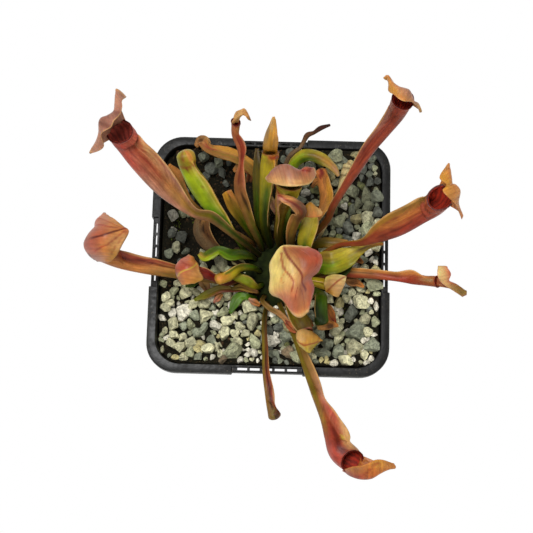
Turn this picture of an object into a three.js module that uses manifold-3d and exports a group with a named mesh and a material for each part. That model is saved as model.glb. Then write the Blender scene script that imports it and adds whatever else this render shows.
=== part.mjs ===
// A potted pitcher plant: a clump of about 35 hollow, winged and hooded leaves that grow from one
// crown, in a square plastic nursery pot filled with peat mix and dressed with pumice grit.
// Millimetres, +Z up. The origin is the centre of the pot's underside.

import * as THREE from 'three';
import { mergeVertices } from 'three/addons/utils/BufferGeometryUtils.js';
import Module from 'manifold-3d';

const wasm = await Module();
wasm.setup();

// Driving dimensions of the pot: half widths are measured from the axis to a flat side
const pot = {
  rimHalf: 45,
  rimHeight: 95,
  footHalf: 32,
  wall: 0.9,
  floor: 1.8,
  ledgeInner: 41.6,
  ledgeThick: 1.8,
  skirtHeight: 5.5,
  rimCorner: 11,
  footCorner: 8,
  cornerSteps: 4,
};
const grip = {
  length: 26,
  recess: 0.6,
  drop: 0.8,
  slots: 5,
  slotLength: 3.6,
  slotPitch: 4.6,
  slotWidth: 0.8,
};
const drain = { radius: 3, reach: 19, sides: 10 };

// The filling: the bed of grit rises to the right and the back, and it is open round the crown
const clearance = 0.35;
const bed = { height: 86, rise: [0.05, 0.03], thick: 3.2 };
const crown = { x: 3.5, y: -5, radius: 15, top: 88.5, bottom: 72 };
const stone = { pitch: 5.4, smallest: 2.6, largest: 4, seed: 20 };

// The leaves: thickness of blades and tube walls, and the gap kept between neighbours
const blade = { thick: 0.8, base: 1.3 };
const tubeWall = 0.8;
const leafGap = 0.4;
const holeGap = 0.33;
const tubeSides = 8;

// Each spine is a list of [x, y, z, width], from the crown to the tip or the mouth. wing is
// [share of the width, direction in degrees on the section]: 90 faces the axis of the plant, 0 is
// the right-hand side seen from the base. slant tips the mouth back to face up. Each hood is a net
// of rows from the back of the mouth outwards, and every row runs from the left side to the right.
const leaves = {
  pitcher_back_left: {
    kind: 'open', colour: '#b0705a', slant: 0.85, wing: [0.3, 35],
    spine: [[-3, 3, 83.5, 2], [-7.5, 3, 95, 2.2], [-14, 5, 108, 3], [-21, 8.5, 118, 4.2],
      [-27.5, 8.5, 126, 3.8], [-36, 15.5, 133, 9], [-43.5, 22.6, 140, 10.4], [-48.5, 27.6, 143.6, 9.4],
      [-51.6, 30.6, 146.4, 8.6]],
    hood: [
      [[-61.3, 24.6, 142], [-58.8, 27.2, 147], [-57.6, 28.9, 151], [-57.3, 31.6, 153], [-56.4, 32.6, 154],
        [-54.5, 33.4, 154], [-52.7, 35.4, 153], [-52.6, 38.2, 152], [-52.8, 40.9, 151], [-53, 43.7, 150]],
      [[-61.4, 24.1, 141.5], [-57.8, 23.9, 146], [-56.1, 25.2, 148], [-56.1, 27.5, 153],
        [-52.8, 28.9, 156], [-52, 30.8, 157], [-50.3, 33.5, 155.5], [-50, 36.7, 153.5],
        [-50.4, 39.3, 152], [-49.7, 41.4, 149]],
    ],
  },
  pitcher_left: {
    kind: 'open', colour: '#b9764a', slant: 0.9, wing: [0.3, 35],
    spine: [[-3.5, -11, 83.5, 1.6], [-10.5, -11, 91, 1.8], [-20.5, -10.5, 95, 3], [-27.5, -9.5, 99, 4.4],
      [-34, -9, 104, 5.2], [-40.5, -8.5, 108, 6.2], [-46.5, -8, 112, 6.8], [-53.5, -7, 115, 6.8],
      [-60, -5, 118, 7]],
    hood: [
      [[-60.3, -8.6, 119], [-63, -7.3, 122], [-64.9, -4, 124], [-63.3, -0.8, 126], [-61.2, 2.1, 126],
        [-61.1, 4.4, 125], [-58.9, 6.5, 124]],
      [[-57, -9.9, 124], [-57, -7.4, 130], [-57.6, -4.7, 132], [-56.9, -1.8, 133], [-56, 1.5, 131],
        [-56.4, 4, 129], [-57.4, 6.4, 126]],
      [[-54.8, -9.2, 125], [-53, -7.1, 127], [-51.1, -4.6, 129], [-48.9, -0.2, 130], [-50.6, 1.4, 130],
        [-53.6, 3.5, 128.5], [-56.4, 5.6, 127]],
    ],
  },
  pitcher_left_small: {
    kind: 'open', colour: '#8e2f22', slant: 0.9, wing: [0.2, 60],
    spine: [[-5, -8.5, 83.5, 1.6], [-10.5, -10, 94, 1.8], [-16, -12, 99, 2.2], [-20.5, -10.5, 103, 3.6],
      [-24, -9.5, 106, 5], [-29, -9.5, 108, 5.4]],
    hood: [
      [[-31.5, -14.4, 109], [-33.1, -11.9, 111], [-33.7, -8.8, 112], [-32, -6.2, 112], [-29.3, -4.4, 110]],
      [[-29.1, -14.7, 112], [-29.8, -12.1, 115], [-29.4, -9.7, 116], [-28.9, -7.4, 115],
        [-28.4, -4.7, 112]],
      [[-27.1, -13.9, 111], [-24, -12.8, 111], [-25.3, -10.1, 112.5], [-26.2, -7.6, 112.5],
        [-27.6, -5, 111]],
    ],
  },
  pitcher_lime_shut: {
    kind: 'shut', colour: '#a3ad2c', wing: [0.2, 60],
    spine: [[-5.5, -1.5, 83.5, 1.6], [-11.5, 4, 96, 2], [-17, 11, 103, 4.2], [-21.8, 16, 108, 7.8],
      [-26, 21.2, 113, 9], [-29.6, 26.2, 117, 7.4], [-31.3, 30.4, 120, 6.6]],
  },
  pitcher_back_twisted: {
    kind: 'open', colour: '#b5523f', slant: 0.6, wing: [0.25, 60], turn: 30,
    spine: [[-4, 4.5, 83.5, 2.2], [-4.2, 5, 95, 2.8], [-6.8, 9.3, 103, 3.4], [-9.3, 13.9, 110, 4],
      [-11.2, 18.3, 116, 4.6], [-11.5, 22, 122, 4.2], [-11, 26, 128, 2], [-11, 30, 133, 3.4],
      [-13, 33.5, 137, 3], [-13, 36.5, 141, 3]],
    hood: [
      [[-14, 36, 144], [-12, 37, 146], [-10.5, 37.5, 147]],
      [[-13, 39, 145], [-10, 39.5, 147], [-7.5, 36, 145]],
    ],
  },
  pitcher_back_yellow: {
    kind: 'open', colour: '#c79a35', slant: -0.1, wing: [0.2, 60],
    spine: [[0, 4.5, 83.5, 2.4], [-1, 8.5, 100, 3.8], [-2, 14.5, 113, 5], [-1.5, 20.5, 122, 6.6],
      [-1, 25.5, 128, 7.4], [-1, 29, 132, 5.6]],
    hood: [
      [[-3.8, 31.5, 133], [-1.2, 29.1, 136.5], [1.7, 31.7, 133]],
      [[-2.7, 34.3, 137], [-0.6, 33.7, 140], [1.6, 33.3, 137]],
      [[-1, 38, 139], [-0.2, 38.5, 140], [0.7, 37.3, 139]],
      [[-0.4, 39.1, 139.5], [-0.2, 39.2, 140], [0, 39, 139.5]],
    ],
  },
  pitcher_pink_hood: {
    kind: 'open', colour: '#c08068', slant: 0.6, wing: [0.2, 100],
    spine: [[5, 1.7, 83.5, 2.4], [3.6, 6.1, 100, 3.4], [3.1, 10.2, 112, 4.4], [4, 13.5, 120, 7.6],
      [5.4, 15.7, 126, 10.4], [5.7, 18.4, 131, 9.2]],
    hood: [
      [[-1.9, 18.4, 136], [-0.3, 20.7, 137.5], [2, 22, 139.5], [5.1, 22, 141], [7.8, 21, 140],
        [9.5, 20.6, 139.5], [11.2, 21.7, 139.5], [13.7, 21.8, 137.5]],
      [[-1.2, 17.2, 136.5], [0.5, 15.8, 139], [3.2, 14.6, 141.5], [6.2, 14, 143], [9.2, 14.3, 142.5],
        [12, 15.6, 140], [13.9, 17.8, 138], [14.7, 20.2, 137]],
    ],
  },
  pitcher_brown_shrunk: {
    kind: 'shut', colour: '#a05a40', wing: [0.3, 150],
    spine: [[3.7, 0.1, 83.5, 2], [5, 4.3, 96, 3], [6.5, 6.5, 109, 4.2], [8.4, 8.6, 119, 4.6],
      [9.5, 10, 127, 4.8], [7.4, 10.3, 134.5, 4.2], [4.7, 10.9, 137, 3.6], [2.5, 12.1, 136, 2.4]],
  },
  pitcher_orange_round: {
    kind: 'open', colour: '#a8a23a', slant: 0.3, wing: [0.25, 20],
    spine: [[9.5, 0.5, 83.5, 2], [12, 1.5, 97, 3], [14.5, 5, 104, 6], [14.5, 8.8, 110, 6.6],
      [14, 12.3, 115, 5]],
    hood: [
      [[11.2, 11.6, 118], [12.2, 13, 120], [13.5, 13.9, 121], [15.2, 13.1, 120], [16.9, 12.2, 118.5]],
      [[10.7, 10.2, 117], [12.6, 9, 120], [15.1, 8.9, 120], [17.4, 9.8, 118.5], [17.8, 11.3, 118]],
    ],
  },
  pitcher_dry_orange: {
    kind: 'shut', colour: '#c08040', wing: [0.25, 20],
    spine: [[10, 4, 83.5, 1.6], [14, 10, 91, 1.8], [18.5, 16, 96, 3], [20.5, 21.5, 99, 5.2],
      [19.5, 26, 102, 4.8], [18, 30, 104, 4.4]],
  },
  pitcher_tall_back_right: {
    kind: 'open', colour: '#99503f', slant: 0.45, wing: [0.3, 160],
    spine: [[7.5, -0.5, 83.5, 2], [12, 2, 96, 2.2], [18, 9, 107, 2.6], [22, 14.5, 114, 2.8],
      [25, 19, 121, 2.8], [29, 24.5, 130, 3.8], [32.5, 29.5, 138, 4.8], [36.5, 33.5, 146, 5.2],
      [39.8, 37.3, 152.5, 6.4], [41.6, 40.3, 158, 7.2]],
    hood: [
      [[35.3, 45.8, 163], [36.1, 45.7, 164.5], [36.9, 43.3, 166], [39, 41.4, 167], [41.1, 40.8, 167],
        [42.6, 40.1, 166.5], [44.3, 37.7, 164], [46.1, 37.9, 161], [47.5, 36.4, 158]],
      [[35.4, 45.4, 162.5], [36.4, 44, 164], [36.4, 40.6, 165], [38, 38.3, 167.5], [39, 36.7, 168.5],
        [40.6, 36, 168.5], [43.2, 36.9, 166], [45.1, 37.1, 162], [47.5, 36.6, 157]],
    ],
  },
  pitcher_right: {
    kind: 'open', colour: '#b0694c', slant: 0.95, wing: [0.3, 150],
    spine: [[9, -3.5, 83.5, 2], [16, -2, 94, 2.2], [25, 0, 103, 2.2], [33, 2, 112, 2.8],
      [38.5, 4.5, 118, 7], [44, 6.5, 125, 9.4], [50.3, 9, 133, 9], [54.4, 10.5, 138, 8.4],
      [56.6, 12, 142, 8.2]],
    hood: [
      [[58.4, 22.5, 145], [58.7, 20.1, 147], [58.8, 17.4, 148.5], [58.9, 14.7, 149.5], [60.1, 14.1, 150],
        [61.4, 12.3, 149.5], [61.2, 8.9, 147.5], [63.1, 6, 144]],
      [[57.9, 21.8, 146], [54.8, 17.2, 150], [55.2, 15.1, 151], [56.5, 13.5, 152], [55.2, 11.4, 153.5],
        [57.1, 9, 153.5], [60, 7.1, 150.5], [63.1, 4.7, 142.5]],
    ],
  },
  pitcher_right_slim: {
    kind: 'open', colour: '#a86a48', slant: 0.6, wing: [0.3, 130],
    spine: [[11, -8.5, 83.5, 2], [18, -7.5, 92, 3], [25.5, -6, 95, 4.4], [32.5, -6.5, 98, 4.4],
      [39, -7.5, 101, 4], [46, -8.5, 104, 4.4], [51.5, -9, 106, 5.8], [56, -10.5, 108, 4],
      [60.5, -11, 109, 4]],
    hood: [
      [[63.3, -6.5, 113], [64.3, -8.9, 113.5], [64.1, -11.1, 111.5], [67.4, -12.1, 109.5],
        [71.1, -14.2, 107]],
      [[59.7, -6.4, 115], [59.1, -9.6, 116.5], [61.1, -12.3, 114], [65.1, -14, 110.5],
        [69.8, -15.8, 106.5]],
    ],
  },
  pitcher_centre_large: {
    kind: 'open', colour: '#d98e62', slant: 0.5, wing: [0.2, 90], turn: 105,
    spine: [[5.5, -9, 83.5, 2.4], [7, -11, 103, 4.4], [8.5, -13, 119, 6], [9.5, -15.5, 133, 7.4]],
    hood: [
      [[12.6, -7, 143], [15.6, -8.5, 144], [16.7, -11.3, 145], [15.7, -14.5, 144], [13.5, -16.8, 143.5],
        [14.4, -20.4, 143], [12.6, -26.3, 142]],
      [[10.5, -7, 146], [12.1, -10.2, 149], [13.1, -13, 150], [12.5, -15.9, 149.5], [11, -18.8, 149],
        [11.8, -22.1, 147], [11.7, -28.8, 143.5]],
      [[8.5, -7.1, 147.5], [8.8, -10.8, 150], [9.5, -13.9, 150.5], [9.6, -16.8, 150.5], [9, -20.3, 151.5],
        [9.1, -23.6, 150], [10.1, -29.8, 143]],
      [[5.9, -6.9, 147], [5.6, -10.6, 150], [6, -14.4, 151], [6.4, -17.6, 151], [6.4, -20.9, 151],
        [6.6, -24.2, 149], [8, -28.9, 143.5]],
      [[3.5, -7.2, 146], [1.4, -9.5, 145.5], [-0.1, -12.8, 145], [0.2, -16.9, 144], [0.3, -21.4, 142.5],
        [3.1, -23.2, 142], [5.1, -24.9, 142.5]],
    ],
  },
  pitcher_small_amber: {
    kind: 'open', colour: '#d9a24e', slant: 0.8, wing: [0.15, 90],
    spine: [[8.5, -11, 83.5, 1.6], [12, -12, 93, 2.6], [16.5, -12, 98, 4], [20.5, -12, 102, 4.8],
      [23, -13, 104, 4.8]],
    hood: [
      [[27.4, -9.8, 107], [26.9, -12.7, 107.5], [24.8, -17, 105]],
      [[23.5, -9.7, 109], [23.4, -13.2, 111], [22.8, -16.8, 108]],
      [[20.3, -10.3, 108], [19.9, -13, 109], [20.6, -15.3, 106.5]],
    ],
  },
  pitcher_green_dry_lip: {
    kind: 'shut', colour: '#5f6b25', wing: [0.15, 40],
    spine: [[10.5, -13, 83.5, 2], [14.5, -12.5, 92, 3], [17.5, -13.5, 95, 4.4], [19, -17, 97, 5.2],
      [19, -21.5, 98, 5.6], [19.5, -25.5, 98, 5.2]],
    hood: [
      [[25, -25.5, 99], [22.5, -27, 100], [18, -28, 99]],
      [[26, -27, 98], [22.5, -28, 98], [18.5, -28.5, 98]],
    ],
  },
  pitcher_olive_wide: {
    kind: 'open', colour: '#6d5a26', slant: 0.35, wing: [0.15, 40],
    spine: [[6.5, -14.5, 83.5, 2.2], [8, -19, 94, 4.4], [10, -23, 98, 7.4], [12, -27, 101, 8],
      [13.6, -30.2, 101.5, 5.6]],
    hood: [
      [[19.4, -32.6, 104], [15.3, -30.4, 107], [12.5, -29.6, 107], [10.2, -30.3, 106]],
      [[19.4, -33, 104], [15.4, -34.1, 108], [12.1, -34.7, 108.5], [9.8, -32.9, 107]],
      [[17.9, -34, 103.5], [15.3, -37.4, 103.5], [13.6, -37, 104], [11.4, -35.3, 104]],
    ],
  },
  pitcher_front_long: {
    kind: 'open', colour: '#9a5a40', slant: 0.8, wing: [0.32, 150],
    spine: [[3.5, -15.5, 83.5, 2], [6, -22.5, 90, 1.8], [9.5, -29.5, 93, 2.2], [12.5, -36.5, 97, 3.6],
      [17.1, -48.6, 104, 5], [19.1, -55.3, 109, 4.4], [22.1, -61.3, 113, 7], [24.3, -66.5, 116, 9],
      [26.2, -72, 118.5, 9.4], [29.8, -75.9, 120, 8.2]],
    hood: [
      [[43.4, -77.2, 120], [41.1, -78.2, 121], [38.7, -79.5, 121.5], [36, -81.2, 121], [32.7, -81.4, 120],
        [29, -80.3, 119.5], [26.8, -78.5, 119]],
      [[43.4, -76, 120.5], [40, -75, 124], [37.2, -74.9, 125.5], [34.8, -76, 126], [32.1, -76.8, 126],
        [29.9, -77.4, 125], [28.3, -77.8, 123.5]],
    ],
  },
  pitcher_front_slim: {
    kind: 'shut', colour: '#7a4a38', wing: [0.35, 160],
    spine: [[-0.5, -15, 83.5, 1.6], [-1.5, -24.5, 93, 2], [-1, -34.5, 98, 2.4], [-0.5, -44, 103, 2.6],
      [1, -52, 106, 3.6], [1.5, -56.5, 107, 3.2], [3, -60.5, 108, 4.6]],
  },
  pitcher_shut_upper: {
    kind: 'shut', colour: '#9a9a35', wing: [0.15, 60],
    spine: [[-3, -5, 83.5, 1.6], [-6.5, -5.5, 97, 2.6], [-11, -6.5, 102, 3.4], [-15, -10, 105, 4.8],
      [-18.5, -12, 107, 4]],
  },
  pitcher_shut_lower: {
    kind: 'shut', colour: '#97a035', wing: [0.15, 60],
    spine: [[-2, -9.5, 83.5, 1.6], [-5, -12, 93, 2.6], [-8.5, -10.5, 97, 4.8], [-12.5, -9.5, 99, 3.4]],
  },
  pitcher_dry_crumpled: {
    kind: 'shut', colour: '#8a6a48', wing: [0.2, 30],
    spine: [[-7.5, -3.5, 83.5, 1.6], [-12, -2.5, 90, 1.6], [-18, 1, 92, 2.2], [-22.5, 3, 95, 5.6],
      [-25.5, 7, 98, 7], [-25.5, 11.5, 99, 6], [-25, 14.5, 99, 2.6]],
  },
  leaf_back_curved: {
    kind: 'flat', colour: '#c08a3c', fold: 0.35,
    spine: [[-1.5, 7.5, 83.5, 1.6], [-1.8, 14.2, 95, 1.8], [-2.5, 22.5, 100, 3], [-6.5, 29.5, 104, 4.4],
      [-13, 34, 106, 4.8], [-19.5, 36, 106, 4.8], [-24, 37.5, 105, 3.4], [-26.5, 40.5, 104, 3.8]],
  },
  leaf_back_spotted: {
    kind: 'flat', colour: '#9a8433', fold: 0.5,
    spine: [[-4.2, 7.2, 83.5, 1.6], [-8.4, 9, 94, 2.2], [-11.4, 12.4, 100.5, 3.4], [-14.2, 16.2, 105, 4.8],
      [-16.7, 20.5, 108, 3.6]],
  },
  leaf_back_slender: {
    kind: 'flat', colour: '#5f5a22', fold: 0.4,
    spine: [[-2.4, 5.8, 83.5, 1.6], [-4, 9.8, 95, 2], [-5.2, 16.8, 102, 2.8], [-5.8, 24.6, 106, 2.8],
      [-5.8, 31.4, 109, 2.6], [-5.9, 36.6, 110, 1.2]],
  },
  leaf_back_right_arched: {
    kind: 'flat', colour: '#a8a030', fold: -0.5,
    spine: [[4.9, 6.8, 83.5, 1.6], [5.7, 12.7, 93, 2.2], [6.1, 22.1, 99, 3.4], [6.7, 30.7, 103, 4.2],
      [9.7, 34.7, 106, 4.6], [14.4, 35.4, 107.5, 4.6], [19.3, 33.4, 107.5, 4.2], [22.7, 30.9, 106.5, 2.8],
      [24.5, 28.2, 105.5, 1.2]],
  },
  leaf_right_yellow: {
    kind: 'flat', colour: '#a5a238', fold: 0.3,
    spine: [[8, -6, 83.5, 2], [13, -6.5, 95, 3.8], [18.5, -3.5, 100, 7.4], [23, -2.5, 103, 8.8],
      [27.5, -1, 103.5, 7.4], [32, 0.5, 104, 4.4], [36.5, 2.5, 104, 1.8], [41.5, 3.5, 103.5, 1]],
  },
  leaf_right_pale_tip: {
    kind: 'flat', colour: '#8d7434', fold: -0.4,
    spine: [[12, -0.5, 83.5, 1.6], [15.5, 3.5, 92, 2.2], [19.5, 5, 95, 3.8], [24, 5, 96, 3.8],
      [29, 5, 96, 2.2]],
  },
  leaf_inner_bright: {
    kind: 'flat', colour: '#6a9a2a', fold: 0.4,
    spine: [[6.5, 3.5, 83.5, 1.2], [5, 6, 94, 1.8], [7.5, 8, 100, 2.6], [11, 10, 103, 1.4]],
  },
  leaf_left_curled: {
    kind: 'flat', colour: '#7f9030', fold: 0.5,
    spine: [[-5.5, -1, 83.5, 1.6], [-8, 0.5, 91, 2.2], [-11, 0, 95, 3.8], [-15, -1, 97, 4.2],
      [-19, 0.5, 98, 3.4], [-22, -1, 98, 3.8], [-24.5, -2, 97, 3.4], [-26.5, -0.5, 96, 1.8]],
  },
  leaf_front_left_narrow: {
    kind: 'flat', colour: '#7d7a28', fold: 0.4,
    spine: [[-2.5, -13.5, 83.5, 1.6], [-7, -13, 91, 1.6], [-13, -13, 92.5, 1.8], [-18.5, -13, 92.5, 3],
      [-23.5, -15.5, 92, 3], [-28, -17.5, 91, 1]],
  },
  leaf_front_left_pointed: {
    kind: 'flat', colour: '#5f8a2c', fold: 0.3,
    spine: [[-4, -15, 83.5, 1.2], [-7.5, -15.5, 90, 2.2], [-10.5, -15.5, 90.5, 3.4],
      [-12.5, -17.5, 90.5, 3.8], [-14.5, -22, 89.5, 1]],
  },
  leaf_front_ribbon: {
    kind: 'flat', colour: '#8a6a36', fold: 0.5,
    spine: [[-1.5, -13.5, 83.5, 1.6], [-2.5, -17, 90, 1.8], [0.5, -20, 92, 2], [4, -22, 93, 2],
      [7, -25, 94, 2], [9, -28.5, 94, 1.6]],
  },
  leaf_back_dry_tip: {
    kind: 'flat', colour: '#c08048', fold: 0.4,
    spine: [[-5, 5.5, 83.5, 1.2], [-8.5, 6.5, 91, 1.2], [-21, 12.5, 94, 1.6], [-30, 18.5, 97, 1.8],
      [-34, 25.5, 99, 2.6], [-35.5, 29, 100, 3], [-39, 32, 101, 1.2]],
  },
  stalk_dead: {
    kind: 'shut', colour: '#3a2a24', wing: [0, 90],
    spine: [[1.4, 7, 83.5, 1.8], [2.1, 14.1, 100, 1.4], [3.2, 23, 110, 1.2], [5, 30.9, 113, 1.6],
      [7.2, 33.8, 115, 1.8], [9.5, 35.1, 116.5, 1.3], [11, 37.5, 118, 1.6], [12.2, 39.4, 119, 2],
      [14.5, 40.3, 119.5, 1.4], [16.8, 42, 119.5, 1.8], [20.1, 43.4, 119, 0.9]],
  },
  tube_dry_fallen: {
    kind: 'shut', colour: '#d8c8a8', wing: [0, 90],
    spine: [[13, -0.5, 83.5, 1.2], [18, 7, 91, 1.2], [22.5, 16, 92, 1.2], [25.5, 25, 92, 1.6],
      [27.5, 31, 92, 3.4], [28.5, 35, 92, 3.8], [30, 38, 92, 3.2]],
  },
};

// Small vector helpers on plain arrays
const add = (a, b, scale = 1) => a.map((value, k) => value + b[k] * scale);
const dot = (a, b) => a[0] * b[0] + a[1] * b[1] + a[2] * b[2];
const cross = (a, b) => [a[1] * b[2] - a[2] * b[1], a[2] * b[0] - a[0] * b[2], a[0] * b[1] - a[1] * b[0]];
const unit = (a) => a.map((value) => value / Math.sqrt(dot(a, a)));
const radians = (degrees) => (degrees * Math.PI) / 180;
const smooth = (x) => {
  const t = Math.min(Math.max(x, 0), 1);
  return t * t * (3 - 2 * t);
};

// A repeatable random number from 0 to 1
function randomSource(seed) {
  let state = seed;
  return () => {
    state = (state * 16807) % 2147483647;
    return state / 2147483647;
  };
}

// A smooth curve through rows of numbers: u runs from 0 to the last row's index
function curveAt(rows, u) {
  const i = Math.min(Math.floor(u), rows.length - 2);
  const f = u - i;
  const p1 = rows[i];
  const p2 = rows[i + 1];
  const p0 = i > 0 ? rows[i - 1] : add(add(p1, p1), p2, -1);
  const p3 = i + 2 < rows.length ? rows[i + 2] : add(add(p2, p2), p1, -1);
  return p1.map((value, k) => {
    const slope = p2[k] - p0[k];
    const bend = 2 * p0[k] - 5 * value + 4 * p2[k] - p3[k];
    const twist = 3 * value - p0[k] - 3 * p2[k] + p3[k];
    return 0.5 * (2 * value + slope * f + bend * f * f + twist * f * f * f);
  });
}

// Solids from meshes: points are [x, y, z], faces are triples of their numbers
function solidFrom(points, faces) {
  let volume = 0;
  for (const [a, b, c] of faces) volume += dot(points[a], cross(points[b], points[c]));
  const outward = volume > 0 ? faces : faces.map(([a, b, c]) => [a, c, b]);
  const vertProperties = new Float32Array(points.flat());
  const triVerts = new Uint32Array(outward.flat());
  return new wasm.Manifold(new wasm.Mesh({ numProp: 3, vertProperties, triVerts }));
}

function solidFromGeometry(geometry) {
  const bare = geometry.clone();
  bare.deleteAttribute('normal');
  bare.deleteAttribute('uv');
  const merged = mergeVertices(bare, 1e-4);
  const place = merged.attributes.position;
  const points = [];
  for (let i = 0; i < place.count; i += 1) points.push([place.getX(i), place.getY(i), place.getZ(i)]);
  const faces = [];
  for (let i = 0; i < merged.index.count; i += 3) {
    faces.push([merged.index.getX(i), merged.index.getX(i + 1), merged.index.getX(i + 2)]);
  }
  return solidFrom(points, faces);
}

function boxSolid(width, depth, height, x, y, z) {
  return solidFromGeometry(new THREE.BoxGeometry(width, depth, height).translate(x, y, z));
}

// A skin over rings of equal length, closed by a fan at each end. On one band of the ring the
// quads are split the other way, so that both faces of a thin wing are split alike.
function loft(rings, mirroredBand = -1) {
  const count = rings[0].length;
  const points = rings.flat();
  const faces = [];
  for (let i = 0; i + 1 < rings.length; i += 1) {
    for (let j = 0; j < count; j += 1) {
      const k = (j + 1) % count;
      const [a, b, c, d] = [i * count + j, i * count + k, (i + 1) * count + k, (i + 1) * count + j];
      if (j === mirroredBand) faces.push([a, b, d], [b, c, d]);
      else faces.push([a, b, c], [a, c, d]);
    }
  }
  for (const [start, flip] of [[0, true], [(rings.length - 1) * count, false]]) {
    const middle = points.length;
    const ring = points.slice(start, start + count);
    points.push(ring.reduce((sum, p) => add(sum, p, 1 / count), [0, 0, 0]));
    for (let j = 0; j < count; j += 1) {
      const k = (j + 1) % count;
      faces.push(flip ? [start + k, start + j, middle] : [start + j, start + k, middle]);
    }
  }
  return solidFrom(points, faces);
}

// A thin sheet over a net of rows, with the same split on both faces
function sheet(net, thickAt) {
  const rows = net.length;
  const columns = net[0].length;
  const normalAt = (i, j) => {
    const along = add(net[Math.min(i + 1, rows - 1)][j], net[Math.max(i - 1, 0)][j], -1);
    const across = add(net[i][Math.min(j + 1, columns - 1)], net[i][Math.max(j - 1, 0)], -1);
    return unit(cross(along, across));
  };
  const points = [];
  for (const side of [0.5, -0.5]) {
    net.forEach((row, i) => row.forEach((p, j) => points.push(add(p, normalAt(i, j), side * thickAt(i)))));
  }
  const under = rows * columns;
  const faces = [];
  const quad = (a, b, c, d) => faces.push([a, b, c], [a, c, d]);
  for (let i = 0; i + 1 < rows; i += 1) {
    for (let j = 0; j + 1 < columns; j += 1) {
      const a = i * columns + j;
      const c = a + columns + 1;
      faces.push([a, a + 1, c], [a, c, a + columns]);
      faces.push([under + a, under + c, under + a + 1], [under + a, under + a + columns, under + c]);
    }
  }
  for (let i = 0; i + 1 < rows; i += 1) {
    const left = i * columns;
    const right = left + columns - 1;
    quad(left, left + columns, under + left + columns, under + left);
    quad(right + columns, right, under + right, under + right + columns);
  }
  for (let j = 0; j + 1 < columns; j += 1) {
    const last = (rows - 1) * columns + j;
    quad(j + 1, j, under + j, under + j + 1);
    quad(last, last + 1, under + last + 1, under + last);
  }
  return solidFrom(points, faces);
}

// The frame of a leaf at u: tangent, front (towards the plant's axis, or up) and side
function frameAt(leaf, u) {
  const last = leaf.spine.length - 1;
  const step = 0.05;
  const ahead = curveAt(leaf.spine, Math.min(u + step, last));
  const behind = curveAt(leaf.spine, Math.max(u - step, 0));
  const tangent = unit(add(ahead, behind, -1).slice(0, 3));
  const reach = add(leaf.spine[last], leaf.spine[0], -1);
  const span = Math.sqrt(reach[0] * reach[0] + reach[1] * reach[1]);
  const outward = [tangent[0] + (0.3 * reach[0]) / span, tangent[1] + (0.3 * reach[1]) / span];
  const across = unit([outward[1], -outward[0], 0]);
  const up = unit(cross(across, tangent));
  const turn = radians(leaf.turn ?? 0);
  const front = add(up.map((v) => v * Math.cos(turn)), cross(tangent, up), Math.sin(turn));
  return { tangent, front, side: cross(tangent, front) };
}

// One ring of a tube's section. The outline is an oval with a thin wing standing on it, and all of
// it stays inside the circle that the spine's width gives.
function tubeRing(leaf, u, shrink = 0, flare = 0) {
  const last = leaf.spine.length - 1;
  const [x, y, z, width] = curveAt(leaf.spine, u);
  const { tangent, front, side } = frameAt(leaf, u);
  const radius = Math.max(width / 2, 0.5);
  const t = u / last;
  const [share, degrees] = leaf.wing;
  const wing = share * smooth((t - 0.12) / 0.25) * smooth((0.97 - t) / 0.15);
  const wide = radius * (1 - wing) - shrink + flare;
  const deep = wide * 0.9;
  const heading = radians(degrees);
  const toWing = [Math.cos(heading), Math.sin(heading)];
  const shift = -radius * wing;
  const place = (a, b) => {
    const slope = leaf.kind === 'open' ? leaf.slant * smooth((t - 0.72) / 0.28) : 0;
    let p = add([x, y, z], side, a + shift * toWing[0]);
    p = add(p, front, b + shift * toWing[1]);
    return add(p, tangent, -slope * b);
  };
  const raised = Math.min(1, (2 * radius * wing) / 0.5) * (shrink > 0 ? 0 : 1);
  const even = (3 * Math.PI) / (tubeSides + 2);
  const root = even + (Math.min(0.4 / wide, 0.6) - even) * raised;
  const ring = [];
  for (let j = 0; j < tubeSides; j += 1) {
    const angle = heading + root + ((2 * Math.PI - 2 * root) * j) / (tubeSides - 1);
    ring.push(place(wide * Math.cos(angle), deep * Math.sin(angle)));
  }
  for (const way of [-1, 1]) {
    const angle = heading + (way * Math.PI) / (tubeSides + 2);
    const low = [wide * Math.cos(angle), deep * Math.sin(angle)];
    const crest = radius * (1 + wing);
    const high = [
      crest * toWing[0] - way * 0.35 * toWing[1],
      crest * toWing[1] + way * 0.35 * toWing[0],
    ];
    ring.push(place(low[0] + (high[0] - low[0]) * raised, low[1] + (high[1] - low[1]) * raised));
  }
  return ring;
}

// The stations of a tube, closer together towards the mouth
function stations(leaf, perSpan) {
  const last = leaf.spine.length - 1;
  const count = Math.round(last * perSpan);
  return Array.from({ length: count + 1 }, (_, i) => (last * i) / count);
}

// The net of a hood: its first row is sunk in the wall behind the mouth
function hoodNet(leaf) {
  const last = leaf.spine.length - 1;
  const [x, y, z, width] = leaf.spine[last];
  const { tangent, front, side } = frameAt(leaf, last);
  const columns = leaf.hood[0].length;
  const refine = 2;
  const widen = columns > 4 ? 1 : 2;
  const radius = width / 2 - tubeWall / 2;
  const slope = leaf.slant ?? 0;
  const root = [];
  for (let j = 0; j < columns; j += 1) {
    const angle = radians(200 + (140 * j) / (columns - 1));
    const b = radius * 0.9 * Math.sin(angle);
    const foot = add(add([x, y, z], side, radius * Math.cos(angle)), front, b);
    root.push(add(foot, tangent, -slope * b - 1.2));
  }
  const rows = [root, ...leaf.hood.map((row) => row.map((p) => add(p, leaf.moved)))];
  const fineRows = rows.map((row) => {
    const fine = [];
    for (let j = 0; j <= (columns - 1) * widen; j += 1) fine.push(curveAt(row, j / widen));
    return fine;
  });
  const net = [];
  for (let i = 0; i <= (rows.length - 1) * refine; i += 1) {
    net.push(fineRows[0].map((_, j) => curveAt(fineRows.map((row) => row[j]), i / refine)));
  }
  return net;
}

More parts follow.
